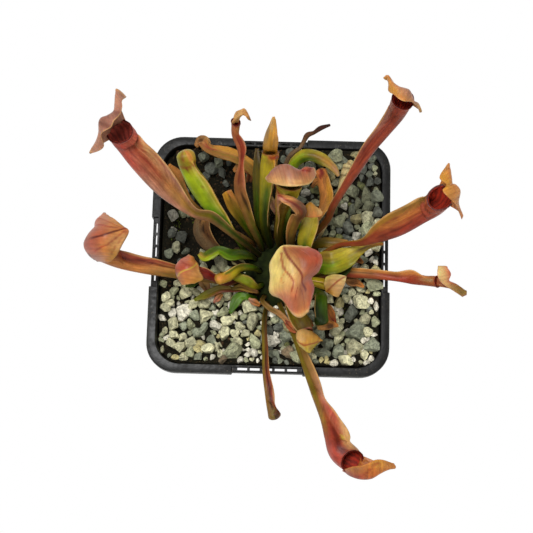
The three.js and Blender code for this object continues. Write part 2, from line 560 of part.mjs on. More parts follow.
function openPitcher(leaf) {
  const last = leaf.spine.length - 1;
  const outside = stations(leaf, 1.25).map((u) => tubeRing(leaf, u));
  const lip = tubeRing(leaf, last, 0, 0.35);
  const throat = [1, 0.95, 0.86, 0.78].map((t) => tubeRing(leaf, last * t, tubeWall));
  const tube = loft([...outside.slice(0, -1), lip, ...throat], tubeSides - 1);
  return tube.add(sheet(hoodNet(leaf), () => blade.thick));
}

function shutPitcher(leaf) {
  const last = leaf.spine.length - 1;
  const rings = stations(leaf, 1.25).map((u) => tubeRing(leaf, u));
  const tip = curveAt(leaf.spine, last);
  const { tangent } = frameAt(leaf, last);
  const rounded = rings[rings.length - 1].map((p) => {
    const centre = add(tip.slice(0, 3), tangent, tip[3] * 0.3);
    return add(centre, add(p, tip.slice(0, 3), -1), 0.5);
  });
  const body = loft([...rings, rounded], tubeSides - 1);
  return leaf.hood ? body.add(sheet(hoodNet(leaf), () => blade.thick)) : body;
}

function flatLeaf(leaf) {
  const steps = stations(leaf, 1.5);
  const net = steps.map((u) => {
    const [x, y, z, width] = curveAt(leaf.spine, u);
    const { front, side } = frameAt(leaf, u);
    const half = Math.max(width / 2, 0.4);
    const lift = leaf.fold * half * smooth(u);
    return [-1, 0, 1].map((way) => {
      const edge = add([x, y, z], side, way * half);
      return add(edge, front, way === 0 ? -lift / 2 : lift / 2);
    });
  });
  const thin = (i) => blade.base + (blade.thick - blade.base) * smooth(steps[i] / 2);
  return sheet(net, thin);
}

// A leaf's foot stays inside the crown
function keepInCrown(foot) {
  const [dx, dy] = [foot[0] - crown.x, foot[1] - crown.y];
  const far = Math.sqrt(dx * dx + dy * dy);
  const most = crown.radius - 2.2;
  if (far <= most) return;
  foot[0] = crown.x + (dx * most) / far;
  foot[1] = crown.y + (dy * most) / far;
}

// Leaves that would cross are bent clear of each other, mostly up and down, a little at a time
function bendClear(list) {
  const samplesOf = (leaf, number) => {
    const samples = [];
    const last = leaf.spine.length - 1;
    for (let k = 0; k <= last * 6; k += k < 12 ? 1 : 2) {
      const u = k / 6;
      const [x, y, z, width] = curveAt(leaf.spine, u);
      const share = leaf.kind === 'flat' ? 1 - 0.25 * smooth((width - 3) / 4) : 1;
      samples.push({ number, u, p: [x, y, z], r: Math.max((width / 2) * share, 0.65) });
    }
    for (const row of leaf.hood ?? []) {
      for (const p of row) samples.push({ number, u: last, p: add(p, leaf.moved), r: 0.9 });
    }
    return samples;
  };
  const push = (leaf, u, way) => {
    const last = leaf.spine.length - 1;
    const i = Math.min(Math.floor(u), last - 1);
    const f = u - i;
    for (const [index, weight] of [[i, 1 - f], [i + 1, f]]) {
      const row = leaf.spine[index];
      const rise = index === 0 ? 0 : way[2] * weight;
      leaf.spine[index] = [row[0] + way[0] * weight, row[1] + way[1] * weight, row[2] + rise, row[3]];
      if (index === 0) keepInCrown(leaf.spine[0]);
      if (index === last) leaf.moved = add(leaf.moved, way, weight);
    }
  };
  for (let round = 0; round < 300; round += 1) {
    const all = list.flatMap((leaf, number) => samplesOf(leaf, number));
    let worst = 0;
    for (let i = 0; i < all.length; i += 1) {
      for (let j = i + 1; j < all.length; j += 1) {
        const a = all[i];
        const b = all[j];
        if (a.number === b.number) continue;
        const reach = a.r + b.r + leafGap;
        const apart = add(a.p, b.p, -1);
        if (Math.abs(apart[0]) > reach || Math.abs(apart[1]) > reach || Math.abs(apart[2]) > reach) continue;
        const distance = Math.sqrt(dot(apart, apart));
        const lack = reach - distance;
        if (lack <= 0) continue;
        worst = Math.max(worst, lack);
        const upright = a.u < 1 || b.u < 1 ? 0.3 : 2;
        const way = unit([apart[0], apart[1], apart[2] * upright]);
        push(list[a.number], a.u, way.map((v) => v * lack * 0.25));
        push(list[b.number], b.u, way.map((v) => -v * lack * 0.25));
      }
    }
    if (worst < 0.02) break;
  }
}

const leafList = Object.values(leaves);
for (const leaf of leafList) {
  leaf.moved = [0, 0, 0];
  keepInCrown(leaf.spine[0]);
}
bendClear(leafList);

// A square ring with rounded corners at one height, or over a height for each point
function squareRing(half, corner, height) {
  const ring = [];
  for (let side = 0; side < 4; side += 1) {
    for (let step = 0; step <= pot.cornerSteps; step += 1) {
      const angle = (Math.PI / 2) * (side + step / pot.cornerSteps);
      const turned = (Math.PI / 2) * (side + 0.5);
      const x = (half - corner) * Math.SQRT2 * Math.cos(turned) + corner * Math.cos(angle);
      const y = (half - corner) * Math.SQRT2 * Math.sin(turned) + corner * Math.sin(angle);
      ring.push([x, y, typeof height === 'function' ? height(x, y) : height]);
    }
  }
  return ring;
}

// The four sides of the square, for what repeats on each
function onEachSide(make) {
  return [0, 90, 180, 270].map((degrees) => make().rotate([0, 0, degrees]));
}

function potSolid() {
  const top = pot.rimHeight;
  const ledgeUnder = top - pot.ledgeThick;
  const skirtFoot = top - pot.skirtHeight;
  const wallTop = pot.ledgeInner + pot.wall;
  const skirtInner = pot.rimHalf - pot.wall;
  let body = loft([
    squareRing(pot.footHalf - 1, pot.footCorner - 1, 0),
    squareRing(pot.footHalf, pot.footCorner, 1.2),
    squareRing(wallTop, pot.rimCorner - 1, ledgeUnder),
    squareRing(skirtInner, pot.rimCorner - 0.5, ledgeUnder),
    squareRing(skirtInner, pot.rimCorner - 0.5, skirtFoot),
    squareRing(pot.rimHalf, pot.rimCorner, skirtFoot),
    squareRing(pot.rimHalf, pot.rimCorner, top - 0.6),
    squareRing(pot.rimHalf - 0.6, pot.rimCorner - 0.4, top),
    squareRing(pot.ledgeInner + 0.6, pot.rimCorner - 1.4, top),
    squareRing(pot.ledgeInner, pot.rimCorner - 1.8, top - 0.6),
    squareRing(pot.ledgeInner, pot.rimCorner - 1.8, top - 3),
    squareRing(pot.footHalf - pot.wall + 0.1, pot.footCorner - 1.2, pot.floor),
  ]);
  const outer = pot.rimHalf - grip.recess;
  const skirt = () => boxSolid(grip.length + 3, pot.wall, pot.skirtHeight - 0.6, 0, -outer + pot.wall / 2,
    skirtFoot + (pot.skirtHeight - 0.6) / 2);
  const recess = () => boxSolid(grip.length, 4, 12, 0, -outer - 2, top - 3);
  const drop = () => boxSolid(grip.length, pot.rimHalf - pot.ledgeInner - 0.8, 4, 0,
    -(pot.rimHalf + pot.ledgeInner + 0.8) / 2, top - grip.drop + 2);
  for (const piece of onEachSide(skirt)) body = body.add(piece);
  for (const piece of [...onEachSide(recess), ...onEachSide(drop)]) body = body.subtract(piece);
  for (let k = 0; k < grip.slots; k += 1) {
    const x = (k - (grip.slots - 1) / 2) * grip.slotPitch;
    const y = -wallTop - 0.2 - grip.slotWidth / 2;
    const slot = () => boxSolid(grip.slotLength, grip.slotWidth, 8, x, y, top - 2);
    for (const piece of onEachSide(slot)) body = body.subtract(piece);
  }
  for (const x of [-drain.reach, 0, drain.reach]) {
    for (const y of [-drain.reach, 0, drain.reach]) {
      if (x === 0 && y === 0) continue;
      const round = new THREE.CylinderGeometry(drain.radius, drain.radius, 6, drain.sides);
      body = body.subtract(solidFromGeometry(round.rotateX(Math.PI / 2).translate(x, y, 0)));
    }
  }
  return body;
}

// Half the room inside the pot at a height
function roomHalf(height) {
  const foot = pot.footHalf - pot.wall + 0.1;
  const rise = (height - pot.floor) / (pot.rimHeight - 3 - pot.floor);
  return foot + (pot.ledgeInner - foot) * rise - clearance;
}

const bedHeight = (x, y) => bed.height + bed.rise[0] * x + bed.rise[1] * y;

function fillRing(height) {
  const sample = typeof height === 'function' ? height(0, 0) : height;
  return squareRing(roomHalf(sample) - 0.3, pot.rimCorner - 2.4, height);
}

// The crown: a short rootstock with a domed top
function crownGeometry(gap, open) {
  const profile = [
    new THREE.Vector2(0, crown.bottom - gap),
    new THREE.Vector2(9 + gap, crown.bottom + 2),
    new THREE.Vector2(crown.radius - 1 + gap, crown.bottom + 7),
    new THREE.Vector2(crown.radius + gap, crown.bottom + 11.5),
  ];
  if (open) {
    profile.push(new THREE.Vector2(crown.radius + gap, crown.top + 12));
    profile.push(new THREE.Vector2(0, crown.top + 12));
  } else {
    profile.push(new THREE.Vector2(crown.radius - 1, crown.bottom + 13.5));
    profile.push(new THREE.Vector2(9, crown.top - 1));
    profile.push(new THREE.Vector2(0, crown.top));
  }
  return new THREE.LatheGeometry(profile, 20).rotateX(Math.PI / 2).translate(crown.x, crown.y, 0);
}

function pottingMix() {
  const topOfMix = (x, y) => bedHeight(x, y) - bed.thick - clearance;
  const block = loft([fillRing(pot.floor + 0.3), fillRing(topOfMix)]);
  return block.subtract(solidFromGeometry(crownGeometry(holeGap, true)));
}

function rhizome() {
  let body = solidFromGeometry(crownGeometry(0, false));
  for (const leaf of leafList) {
    const rings = [];
    const start = leaf.spine[0];
    const { tangent } = frameAt(leaf, 0);
    const reach = [0, 0.5, 1, 1.5].filter((u) => u < 1 || curveAt(leaf.spine, u - 0.5)[2] < crown.top);
    for (const u of reach) {
      const frame = frameAt(leaf, u);
      const [x, y, z, width] = curveAt(leaf.spine, u);
      const radius = (Math.max(width / 2, 0.65) + holeGap) / Math.cos(Math.PI / 6);
      rings.push([0, 1, 2, 3, 4, 5].map((k) => {
        const angle = (Math.PI / 3) * k;
        const across = add([x, y, z], frame.side, radius * Math.cos(angle));
        return add(across, frame.front, radius * Math.sin(angle));
      }));
    }
    rings.unshift(rings[0].map((p) => add(p, tangent, -holeGap)));
    body = body.subtract(loft(rings));
  }
  return body;
}

// One rough stone: a block with uneven corners, flattened and turned at random
function stoneSolid(random, x, y, z, radius) {
  const box = new THREE.BoxGeometry(1.5, 1.5, 1.5);
  const block = mergeVertices(box.deleteAttribute('normal').deleteAttribute('uv'));
  const place = block.attributes.position;
  for (let i = 0; i < place.count; i += 1) {
    const bump = 0.8 + 0.32 * random();
    place.setXYZ(i, place.getX(i) * bump, place.getY(i) * bump, place.getZ(i) * bump);
  }
  block.scale(radius, radius * (0.7 + 0.3 * random()), radius * (0.65 + 0.2 * random()));
  block.rotateX(0.8 * (random() - 0.5)).rotateZ(2 * Math.PI * random()).translate(x, y, z);
  return solidFromGeometry(block);
}

// Grit: a sloping bed with stones set in its top on a jittered grid. The back left corner, where
// the peat shows, has fewer. A stone is left out where a leaf lies lower than it would reach.
function grit() {
  const under = (x, y) => bedHeight(x, y) - bed.thick;
  let body = loft([fillRing(under), fillRing(bedHeight)]);
  const low = leafList.flatMap((leaf) => stations(leaf, 3).map((u) => curveAt(leaf.spine, u)));
  const random = randomSource(stone.seed);
  const count = Math.floor((2 * pot.ledgeInner) / stone.pitch);
  const stones = [];
  for (let row = 0; row < count; row += 1) {
    for (let column = 0; column < count; column += 1) {
      const spread = random();
      const radius = stone.smallest + (stone.largest - stone.smallest) * spread * spread;
      const room = roomHalf(bed.height) - radius * 1.2;
      const within = (value) => Math.min(Math.max(value, -room), room);
      const offset = row % 2 === 0 ? 0.25 : -0.25;
      const x = within((column + 0.5 + offset - count / 2 + 0.4 * (random() - 0.5)) * stone.pitch);
      const y = within((row + 0.5 - count / 2 + 0.4 * (random() - 0.5)) * stone.pitch);
      const z = bedHeight(x, y) + radius * (0.05 + 0.25 * random());
      const made = stoneSolid(random, x, y, z, radius);
      const round = pot.rimCorner - 3;
      const [cutX, cutY] = [Math.abs(x) - room + round, Math.abs(y) - room + round];
      const inCorner = cutX > 0 && cutY > 0 && Math.hypot(cutX, cutY) > round;
      const fromCrown = Math.hypot(x - crown.x, y - crown.y);
      const crossed = low.some((p) => {
        const far = Math.hypot(p[0] - x, p[1] - y, p[2] - z);
        return far < radius * 1.25 + Math.max(p[3] / 2, 0.7) + leafGap;
      });
      const peaty = x < -6 && y > 2 && (row + 2 * column) % 3 !== 0;
      if (!inCorner && fromCrown > crown.radius + 1.5 && !crossed && !peaty) stones.push(made);
    }
  }
  body = wasm.Manifold.union([body, ...stones]);
  const opening = new THREE.CylinderGeometry(crown.radius + 0.4, crown.radius + 0.4, 40, 20);
  opening.rotateX(Math.PI / 2).translate(crown.x, crown.y, bed.height);
  return body.subtract(solidFromGeometry(opening));
}

// The scene graph: one named mesh for each piece. Slivers that joins and cuts left are merged.
const plant = new THREE.Group();
const sliver = 0.05;

function addPiece(name, solid, material) {
  const { vertProperties, triVerts } = solid.asOriginal().simplify(sliver).getMesh();
  const geometry = new THREE.BufferGeometry();
  geometry.setAttribute('position', new THREE.BufferAttribute(vertProperties, 3));
  geometry.setIndex(new THREE.BufferAttribute(triVerts, 1));
  geometry.computeVertexNormals();
  const mesh = new THREE.Mesh(geometry, material);
  mesh.name = name;
  plant.add(mesh);
}

const blackPlastic = new THREE.MeshStandardMaterial({ color: '#1d1f20', roughness: 0.5, metalness: 0 });
const darkPeat = new THREE.MeshStandardMaterial({ color: '#221a14', roughness: 1, metalness: 0 });
const paleStone = new THREE.MeshStandardMaterial({ color: '#b5b3a0', roughness: 0.95, metalness: 0 });
const brownRoot = new THREE.MeshStandardMaterial({ color: '#4a3524', roughness: 0.9, metalness: 0 });

addPiece('pot', potSolid(), blackPlastic);
addPiece('potting_mix', pottingMix(), darkPeat);
addPiece('pumice_gravel', grit(), paleStone);
addPiece('rhizome', rhizome(), brownRoot);

const makers = { open: openPitcher, shut: shutPitcher, flat: flatLeaf };
for (const [name, leaf] of Object.entries(leaves)) {
  const skin = new THREE.MeshStandardMaterial({ color: leaf.colour, roughness: 0.55, metalness: 0 });
  addPiece(name, makers[leaf.kind](leaf), skin);
}

export default plant;
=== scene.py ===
# %% [markdown]
# # A potted pitcher plant
# A clump of hollow, hooded leaves grows from one crown in a square black nursery pot. The pot is
# filled with peat mix and topped with pumice grit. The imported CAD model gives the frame: every piece
# here stands where its solid stands, in metres, with +Z up.

import math

import bmesh
import bpy
import numpy as np
from mathutils import Matrix, Vector


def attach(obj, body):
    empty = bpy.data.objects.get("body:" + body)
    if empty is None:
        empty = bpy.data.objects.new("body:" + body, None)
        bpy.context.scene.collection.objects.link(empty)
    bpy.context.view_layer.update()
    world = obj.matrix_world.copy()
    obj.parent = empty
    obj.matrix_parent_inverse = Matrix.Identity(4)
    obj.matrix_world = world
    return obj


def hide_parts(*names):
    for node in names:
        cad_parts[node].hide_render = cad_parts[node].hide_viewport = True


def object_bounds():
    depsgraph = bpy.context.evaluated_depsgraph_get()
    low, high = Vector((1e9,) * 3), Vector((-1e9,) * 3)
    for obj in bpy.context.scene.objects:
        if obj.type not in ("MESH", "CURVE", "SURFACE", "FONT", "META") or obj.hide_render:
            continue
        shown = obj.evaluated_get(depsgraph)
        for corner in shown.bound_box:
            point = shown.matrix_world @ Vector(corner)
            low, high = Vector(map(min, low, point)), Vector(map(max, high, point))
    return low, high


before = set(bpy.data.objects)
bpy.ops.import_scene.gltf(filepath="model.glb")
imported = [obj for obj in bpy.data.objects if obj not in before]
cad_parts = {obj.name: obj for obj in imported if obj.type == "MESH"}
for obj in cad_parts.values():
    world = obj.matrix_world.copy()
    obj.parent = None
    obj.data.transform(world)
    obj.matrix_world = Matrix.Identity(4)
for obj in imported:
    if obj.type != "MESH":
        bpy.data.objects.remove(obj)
cad_low, cad_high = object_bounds()
MM = 0.001
print("nodes:", len(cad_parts), "box in mm:", [round(v / MM, 1) for v in (*cad_low, *cad_high)])

# %% [markdown]
# ## The camera
# The photograph looks down on the pot from almost straight above, a little from the front, and is
# turned by a degree and a half. The position and the focal length were worked out from the corners
# of the rim. A camera looks along its own -Z, with +Y up in the picture, so three unit vectors make
# its rotation.

# %% Camera at the photograph's viewing angle
PICTURE = 533
FOCAL_PX = 1100
SENSOR = 36
camera_place = Vector((-1.268, -77.647, 499.948)) * MM
tilt = math.radians(79.78)
roll = math.radians(1.54)
backward = Vector((0, -math.cos(tilt), math.sin(tilt)))
level_right = Vector((1, 0, 0))
level_up = backward.cross(level_right)
camera_right = level_right * math.cos(roll) + level_up * math.sin(roll)
camera_up = level_up * math.cos(roll) - level_right * math.sin(roll)

camera = bpy.data.objects.new("camera", bpy.data.cameras.new("camera"))
bpy.context.scene.collection.objects.link(camera)
camera.matrix_world = Matrix.Translation(camera_place) @ Matrix(
    [camera_right, camera_up, backward]).transposed().to_4x4()
camera.data.sensor_width = SENSOR
camera.data.lens = SENSOR * FOCAL_PX / PICTURE
camera.data.clip_start = 0.01
bpy.context.scene.camera = camera
print("lens in mm:", round(camera.data.lens, 2))


def on_height(px, py, height_at):
    """The point of a surface, in mm, that the photograph shows at a pixel."""
    ray = camera_right * (px - PICTURE / 2) - camera_up * (py - PICTURE / 2) - backward * FOCAL_PX
    z = height_at(0, 0)
    for _ in range(6):
        spot = camera_place / MM + ray * ((camera_place.z / MM - z) / -ray.z)
        z = height_at(spot.x, spot.y)
    return spot


# %% [markdown]
# ## Node trees in one line
# Materials, lights and Geometry Nodes are all made of nodes, so a few helpers come first. One adds a
# node and fills its inputs: where it gets a socket it draws a wire, and where it gets a plain value it
# writes that. The others wrap the nodes that this script uses again and again.

# %% Helpers for node trees
FLOAT, VECTOR = "NodeSocketFloat", "NodeSocketVector"
GEOMETRY, INTEGER, SURFACE = "NodeSocketGeometry", "NodeSocketInt", "NodeSocketMaterial"


def fill(tree, node, wires):
    """Wires sockets to a node's inputs, and writes plain values into them."""
    for key, value in wires.items():
        if isinstance(value, bpy.types.NodeSocket):
            tree.links.new(value, node.inputs[key])
        else:
            node.inputs[key].default_value = value


def add_node(tree, kind, wires=None, **settings):
    made = tree.nodes.new(kind)
    for key, value in settings.items():
        setattr(made, key, value)
    fill(tree, made, wires or {})
    return made


def first_out(tree, kind, wires=None, **settings):
    """Adds a node and gives its first output."""
    return add_node(tree, kind, wires, **settings).outputs[0]


def maths(tree, operation, a, b=0.0, c=0.0):
    return first_out(tree, "ShaderNodeMath", {0: a, 1: b, 2: c}, operation=operation)


def vmaths(tree, operation, a, b=(0.0, 0.0, 0.0), output=0):
    return add_node(tree, "ShaderNodeVectorMath", {0: a, 1: b}, operation=operation).outputs[output]


def ranged(tree, value, low, high, to_low=0.0, to_high=1.0, curve="LINEAR"):
    """Maps low..high to to_low..to_high and holds what lies outside."""
    return first_out(tree, "ShaderNodeMapRange", {
        "Value": value, "From Min": low, "From Max": high, "To Min": to_low, "To Max": to_high},
        interpolation_type=curve)


def noise(tree, scale, detail, where=None):
    wires = {"Scale": scale, "Detail": detail}
    if where is not None:
        wires["Vector"] = where
    return first_out(tree, "ShaderNodeTexNoise", wires)


def mixed(tree, factor, a, b, blend="MIX"):
    """Mixes two colours: each a socket, or a plain (r, g, b)."""
    a, b = [c if isinstance(c, bpy.types.NodeSocket) else (*c, 1) for c in (a, b)]
    made = add_node(tree, "ShaderNodeMix", {0: factor, 6: a, 7: b}, data_type="RGBA", blend_type=blend)
    return made.outputs[2]


def bump(tree, height, strength, distance):
    return first_out(tree, "ShaderNodeBump", {"Height": height, "Strength": strength, "Distance": distance})


def grouped(tree, group, wires):
    return add_node(tree, "ShaderNodeGroup", wires, node_tree=group).outputs


def attribute(tree, name, output="Fac"):
    return add_node(tree, "ShaderNodeAttribute", attribute_name=name).outputs[output]


def object_place(tree):
    return add_node(tree, "ShaderNodeTexCoord").outputs["Object"]


def new_group(name, inputs, outputs, kind="ShaderNodeTree"):
    """A node group: the tree, the sockets that it is given, and the node that takes its results."""
    tree = bpy.data.node_groups.new(name, kind)
    for label, (socket, value) in inputs.items():
        made = tree.interface.new_socket(label, in_out="INPUT", socket_type=socket)
        if value is not None:
            made.default_value = value
    for label, socket in outputs.items():
        tree.interface.new_socket(label, in_out="OUTPUT", socket_type=socket)
    return tree, tree.nodes.new("NodeGroupInput").outputs, tree.nodes.new("NodeGroupOutput")


def new_material(name):
    """A material, its node tree and its Principled shader."""
    made = bpy.data.materials.new(name)
    made.use_nodes = True
    return made, made.node_tree, made.node_tree.nodes["Principled BSDF"]


# %% [markdown]
# ## Light and floor
# The photo was lit softly from above, on white. A pale world fills the shadows, a broad lamp over
# the plant gives the small glints on the waxy leaves, and a weaker one from the side shapes them.
# The standard view transform keeps the colours as they are named below. The photo's white shows no
# shadow at all, so the floor lights the plant as white paper does, but the lens sees plain white.

# %% World, lamps and floor
FLOOR_HALF = 900
scene = bpy.context.scene
scene.view_settings.view_transform = "Standard"
scene.world = bpy.data.worlds.new("studio")
scene.world.use_nodes = True
t = scene.world.node_tree
fill(t, t.nodes["Background"], {"Color": (1, 1, 0.95, 1), "Strength": 0.62})


def soft_lamp(name, place, size, watts):
    """A square lamp that points at the plant."""
    lamp = bpy.data.objects.new(name, bpy.data.lights.new(name, "AREA"))
    lamp.data.size = size
    lamp.data.energy = watts
    lamp.location = place
    lamp.rotation_mode = "QUATERNION"
    lamp.rotation_quaternion = (Vector(place) - Vector((0, 0, 0.1))).to_track_quat("Z", "Y")
    scene.collection.objects.link(lamp)


soft_lamp("lamp_above", (-0.2, 0.1, 0.95), 0.35, 9)
soft_lamp("lamp_side", (0.7, -0.5, 0.6), 0.6, 2)


def plain_mesh(name, points, faces):
    """A mesh object from points in mm. Its place is in the mesh and the object stays at the origin."""
    mesh = bpy.data.meshes.new(name)
    mesh.from_pydata([tuple(p) for p in np.asarray(points, float) * MM], [],
                     [tuple(map(int, f)) for f in faces])
    mesh.shade_smooth()
    made = bpy.data.objects.new(name, mesh)
    scene.collection.objects.link(made)
    return made


corners = [(x * FLOOR_HALF, y * FLOOR_HALF, 0) for x, y in ((-1, -1), (1, -1), (1, 1), (-1, 1))]
floor = plain_mesh("floor", corners, [(0, 1, 2, 3)])
white, t, paper = new_material("white_sweep")
fill(t, paper, {"Base Color": (0.85, 0.85, 0.85, 1), "Roughness": 0.9})
glow = add_node(t, "ShaderNodeEmission")
lens = add_node(t, "ShaderNodeLightPath").outputs["Is Camera Ray"]
either = add_node(t, "ShaderNodeMixShader", {0: lens, 1: paper.outputs[0], 2: glow.outputs[0]})
fill(t, t.nodes["Material Output"], {0: either.outputs[0]})
floor.data.materials.append(white)

# %% [markdown]
# ## Colours by name
# A painter mixes a few colours and uses them again and again. These are the plant's, named one by one.
# Blender's sockets want linear light, so the usual screen values are converted, and deepened a
# little, because the lamps and the gloss of a leaf lighten what they fall on.

# %% The palette
DEEPEN, KEEP = 1.18, (0.74, 0.71, 0.54)


def linear(code):
    """Linear red, green and blue from a screen value such as 5a1412."""
    parts = [int(code[k:k + 2], 16) / 255 for k in (0, 2, 4)]
    return np.array([c / 12.92 if c <= 0.04045 else ((c + 0.055) / 1.055) ** 2.4 for c in parts])


PALETTE = {name: linear(code)**DEEPEN * KEEP for name, code in {
    "maroon": "5a1412", "deep maroon": "35090a", "dark red": "7a1c1a", "brick": "9c3d2e", "rose": "b5564f",
    "red brown": "8e4232", "dull red": "a0513f", "salmon": "dc8a63", "pink salmon": "cb6d5c",
    "pink": "c98a80", "dusty pink": "ba8d80", "mauve": "9d716c", "mauve pink": "b57a76", "orange": "cc7a3c",
    "orange tan": "c88a52", "tan": "c09060", "pale tan": "d6b083", "golden": "c9983c", "amber": "daa24c",
    "yellow": "d2c25a", "pale yellow": "dcd286", "cream": "e6d4a4", "throat": "b53a24",
    "yellow green": "aca020", "lime": "a3b81a", "bright green": "6b9618", "green": "4a6e12",
    "dark green": "293f0c", "olive": "786b1a", "dark olive": "3f3b10", "olive tan": "8f7132",
    "brown": "6e4a2c", "dark brown": "3e2616", "black": "17100d", "bone": "d8c9a6", "grey brown": "7d6a56",
}.items()}
print("colours:", len(PALETTE))

# %% [markdown]
# ## Shader groups
# Effects that several finishes share are node groups, built once. Each puts out a mask or a value
# that changes over the surface, and the Principled shader stays in the material.
#
# ### Leaf veins
# A pitcher's veins run along the tube and out over the hood, with thinner ones between. The UV map
# of each leaf is in millimetres round and along it, so evenly spaced lines, pushed about by noise,
# make the long veins, and the edges of a stretched Voronoi pattern make the net between them. A
# noise that is drawn out along the leaf gives its faint streaks.

# %% The group "Leaf Veins"
veins_group, given, result = new_group("Leaf Veins", {
    "UV": (VECTOR, None), "Spacing": (FLOAT, 1.7), "Thickness": (FLOAT, 0.2), "Wander": (FLOAT, 0.5),
    "Net": (FLOAT, 0.5)}, {"Mask": FLOAT, "Streaks": FLOAT})
t = veins_group
across_leaf = add_node(t, "ShaderNodeSeparateXYZ", {0: given["UV"]}).outputs[0]
pushed = maths(t, "MULTIPLY_ADD", noise(t, 0.35, 2.0, given["UV"]), given["Wander"],
               maths(t, "DIVIDE", across_leaf, given["Spacing"]))
distance = maths(t, "ABSOLUTE", maths(t, "SUBTRACT", maths(t, "FRACT", pushed), 0.5))
long_vein = ranged(t, distance, 0.0, given["Thickness"], 1.0, 0.0, "SMOOTHSTEP")
stretched = vmaths(t, "MULTIPLY", given["UV"], (1.0, 0.45, 1.0))
cells = add_node(t, "ShaderNodeTexVoronoi", {"Vector": stretched, "Scale": 0.9}, feature="DISTANCE_TO_EDGE")
fine_vein = ranged(t, cells.outputs["Distance"], 0.0, 0.12, 1.0, 0.0, "SMOOTHSTEP")
patchy = ranged(t, noise(t, 0.2, 1.0, given["UV"]), 0.35, 0.65)
fill(t, result, {
    "Mask": maths(t, "MAXIMUM", maths(t, "MULTIPLY", long_vein, patchy),
                  maths(t, "MULTIPLY", fine_vein, given["Net"])),
    "Streaks": noise(t, 1.1, 4.0, vmaths(t, "MULTIPLY", given["UV"], (1.0, 0.09, 1.0)))})
print("Leaf Veins nodes:", len(t.nodes))

# %% [markdown]
# ### Mottling
# Nothing alive is one flat colour. Two sizes of noise on Object coordinates make a value between 0
# and 1 for blotches, and a second one for small dark specks. Stones, peat and leaves all use it.

# %% The group "Mottling"
mottle_group, given, result = new_group("Mottling", {
    "Vector": (VECTOR, None), "Blotch": (FLOAT, 250.0), "Speck": (FLOAT, 1400.0), "Amount": (FLOAT, 0.3)},
    {"Blotches": FLOAT, "Specks": FLOAT})
t = mottle_group
centred = maths(t, "SUBTRACT", noise(t, given["Blotch"], 6.0, given["Vector"]), 0.5)
fill(t, result, {"Blotches": maths(t, "MULTIPLY_ADD", centred, given["Amount"], 0.5),
                 "Specks": ranged(t, noise(t, given["Speck"], 2.0, given["Vector"]), 0.58, 0.7)})
print("Mottling nodes:", len(t.nodes))

# %% [markdown]
# ### The leaf skin
# All the leaves share one skin. Its colours are painted on each leaf as attributes: "tint" is the
# ground colour, "vein_tint" the colour of the veins, and "veins" and "dry" say how strong the veins
# are and how dried up the tissue is. Waxy tissue shines, dry tissue doesn't.

# %% The material "leaf_skin"
leaf_skin, t, shader = new_material("leaf_skin")
strength, dry = attribute(t, "veins"), attribute(t, "dry")
grain = add_node(t, "ShaderNodeUVMap", uv_map="grain").outputs[0]
veins = grouped(t, veins_group, {"UV": grain})
mottle = grouped(t, mottle_group, {"Vector": object_place(t), "Amount": 1.0})
lit = ranged(t, mottle["Blotches"], 0.3, 0.7, 0.77, 1.23)
streak = ranged(t, veins["Streaks"], 0.3, 0.7, 0.7, 1.24)
how_streaky = maths(t, "MULTIPLY_ADD", strength, 1.5, 0.25)
streaked = maths(t, "MULTIPLY_ADD", maths(t, "SUBTRACT", streak, 1.0), how_streaky, 1.0)
ground = mixed(t, 1.0, attribute(t, "tint", "Color"), maths(t, "MULTIPLY", lit, streaked), "MULTIPLY")
vein_here = maths(t, "MULTIPLY", veins["Mask"], strength)
veined = mixed(t, vein_here, ground, attribute(t, "vein_tint", "Color"))
spotted = maths(t, "MULTIPLY", mottle["Specks"], maths(t, "MULTIPLY", dry, 0.5))
relief = maths(t, "ADD", maths(t, "MULTIPLY_ADD", vein_here, 0.5, veins["Streaks"]),
               maths(t, "MULTIPLY", mottle["Blotches"], maths(t, "ADD", dry, 0.35)))
fill(t, shader, {
    "Base Color": mixed(t, spotted, veined, PALETTE["dark brown"]),
    "Roughness": ranged(t, dry, 0.0, 1.0, 0.36, 0.85),
    "Normal": bump(t, relief, 0.6, 0.0003), "Specular IOR Level": 0.22, "Subsurface Weight": 0.12,
    "Subsurface Radius": (1.0, 0.35, 0.12), "Subsurface Scale": 0.0012})
print("leaf_skin nodes:", len(t.nodes))

# %% [markdown]
# ## The leaves' courses
# Each leaf grows along a course that was measured in the photograph: [x, y, z, width] in mm, from the
# crown to the mouth or the tip. A wing runs down the front of a pitcher, given as its share of the
# width and its direction on the section, where 0 is the right-hand side seen from the base and 90
# faces up. A hood is a net of rows from the back of the mouth outwards. The same lists shape the
# solids, so that the fine leaves lie where the solids lie.

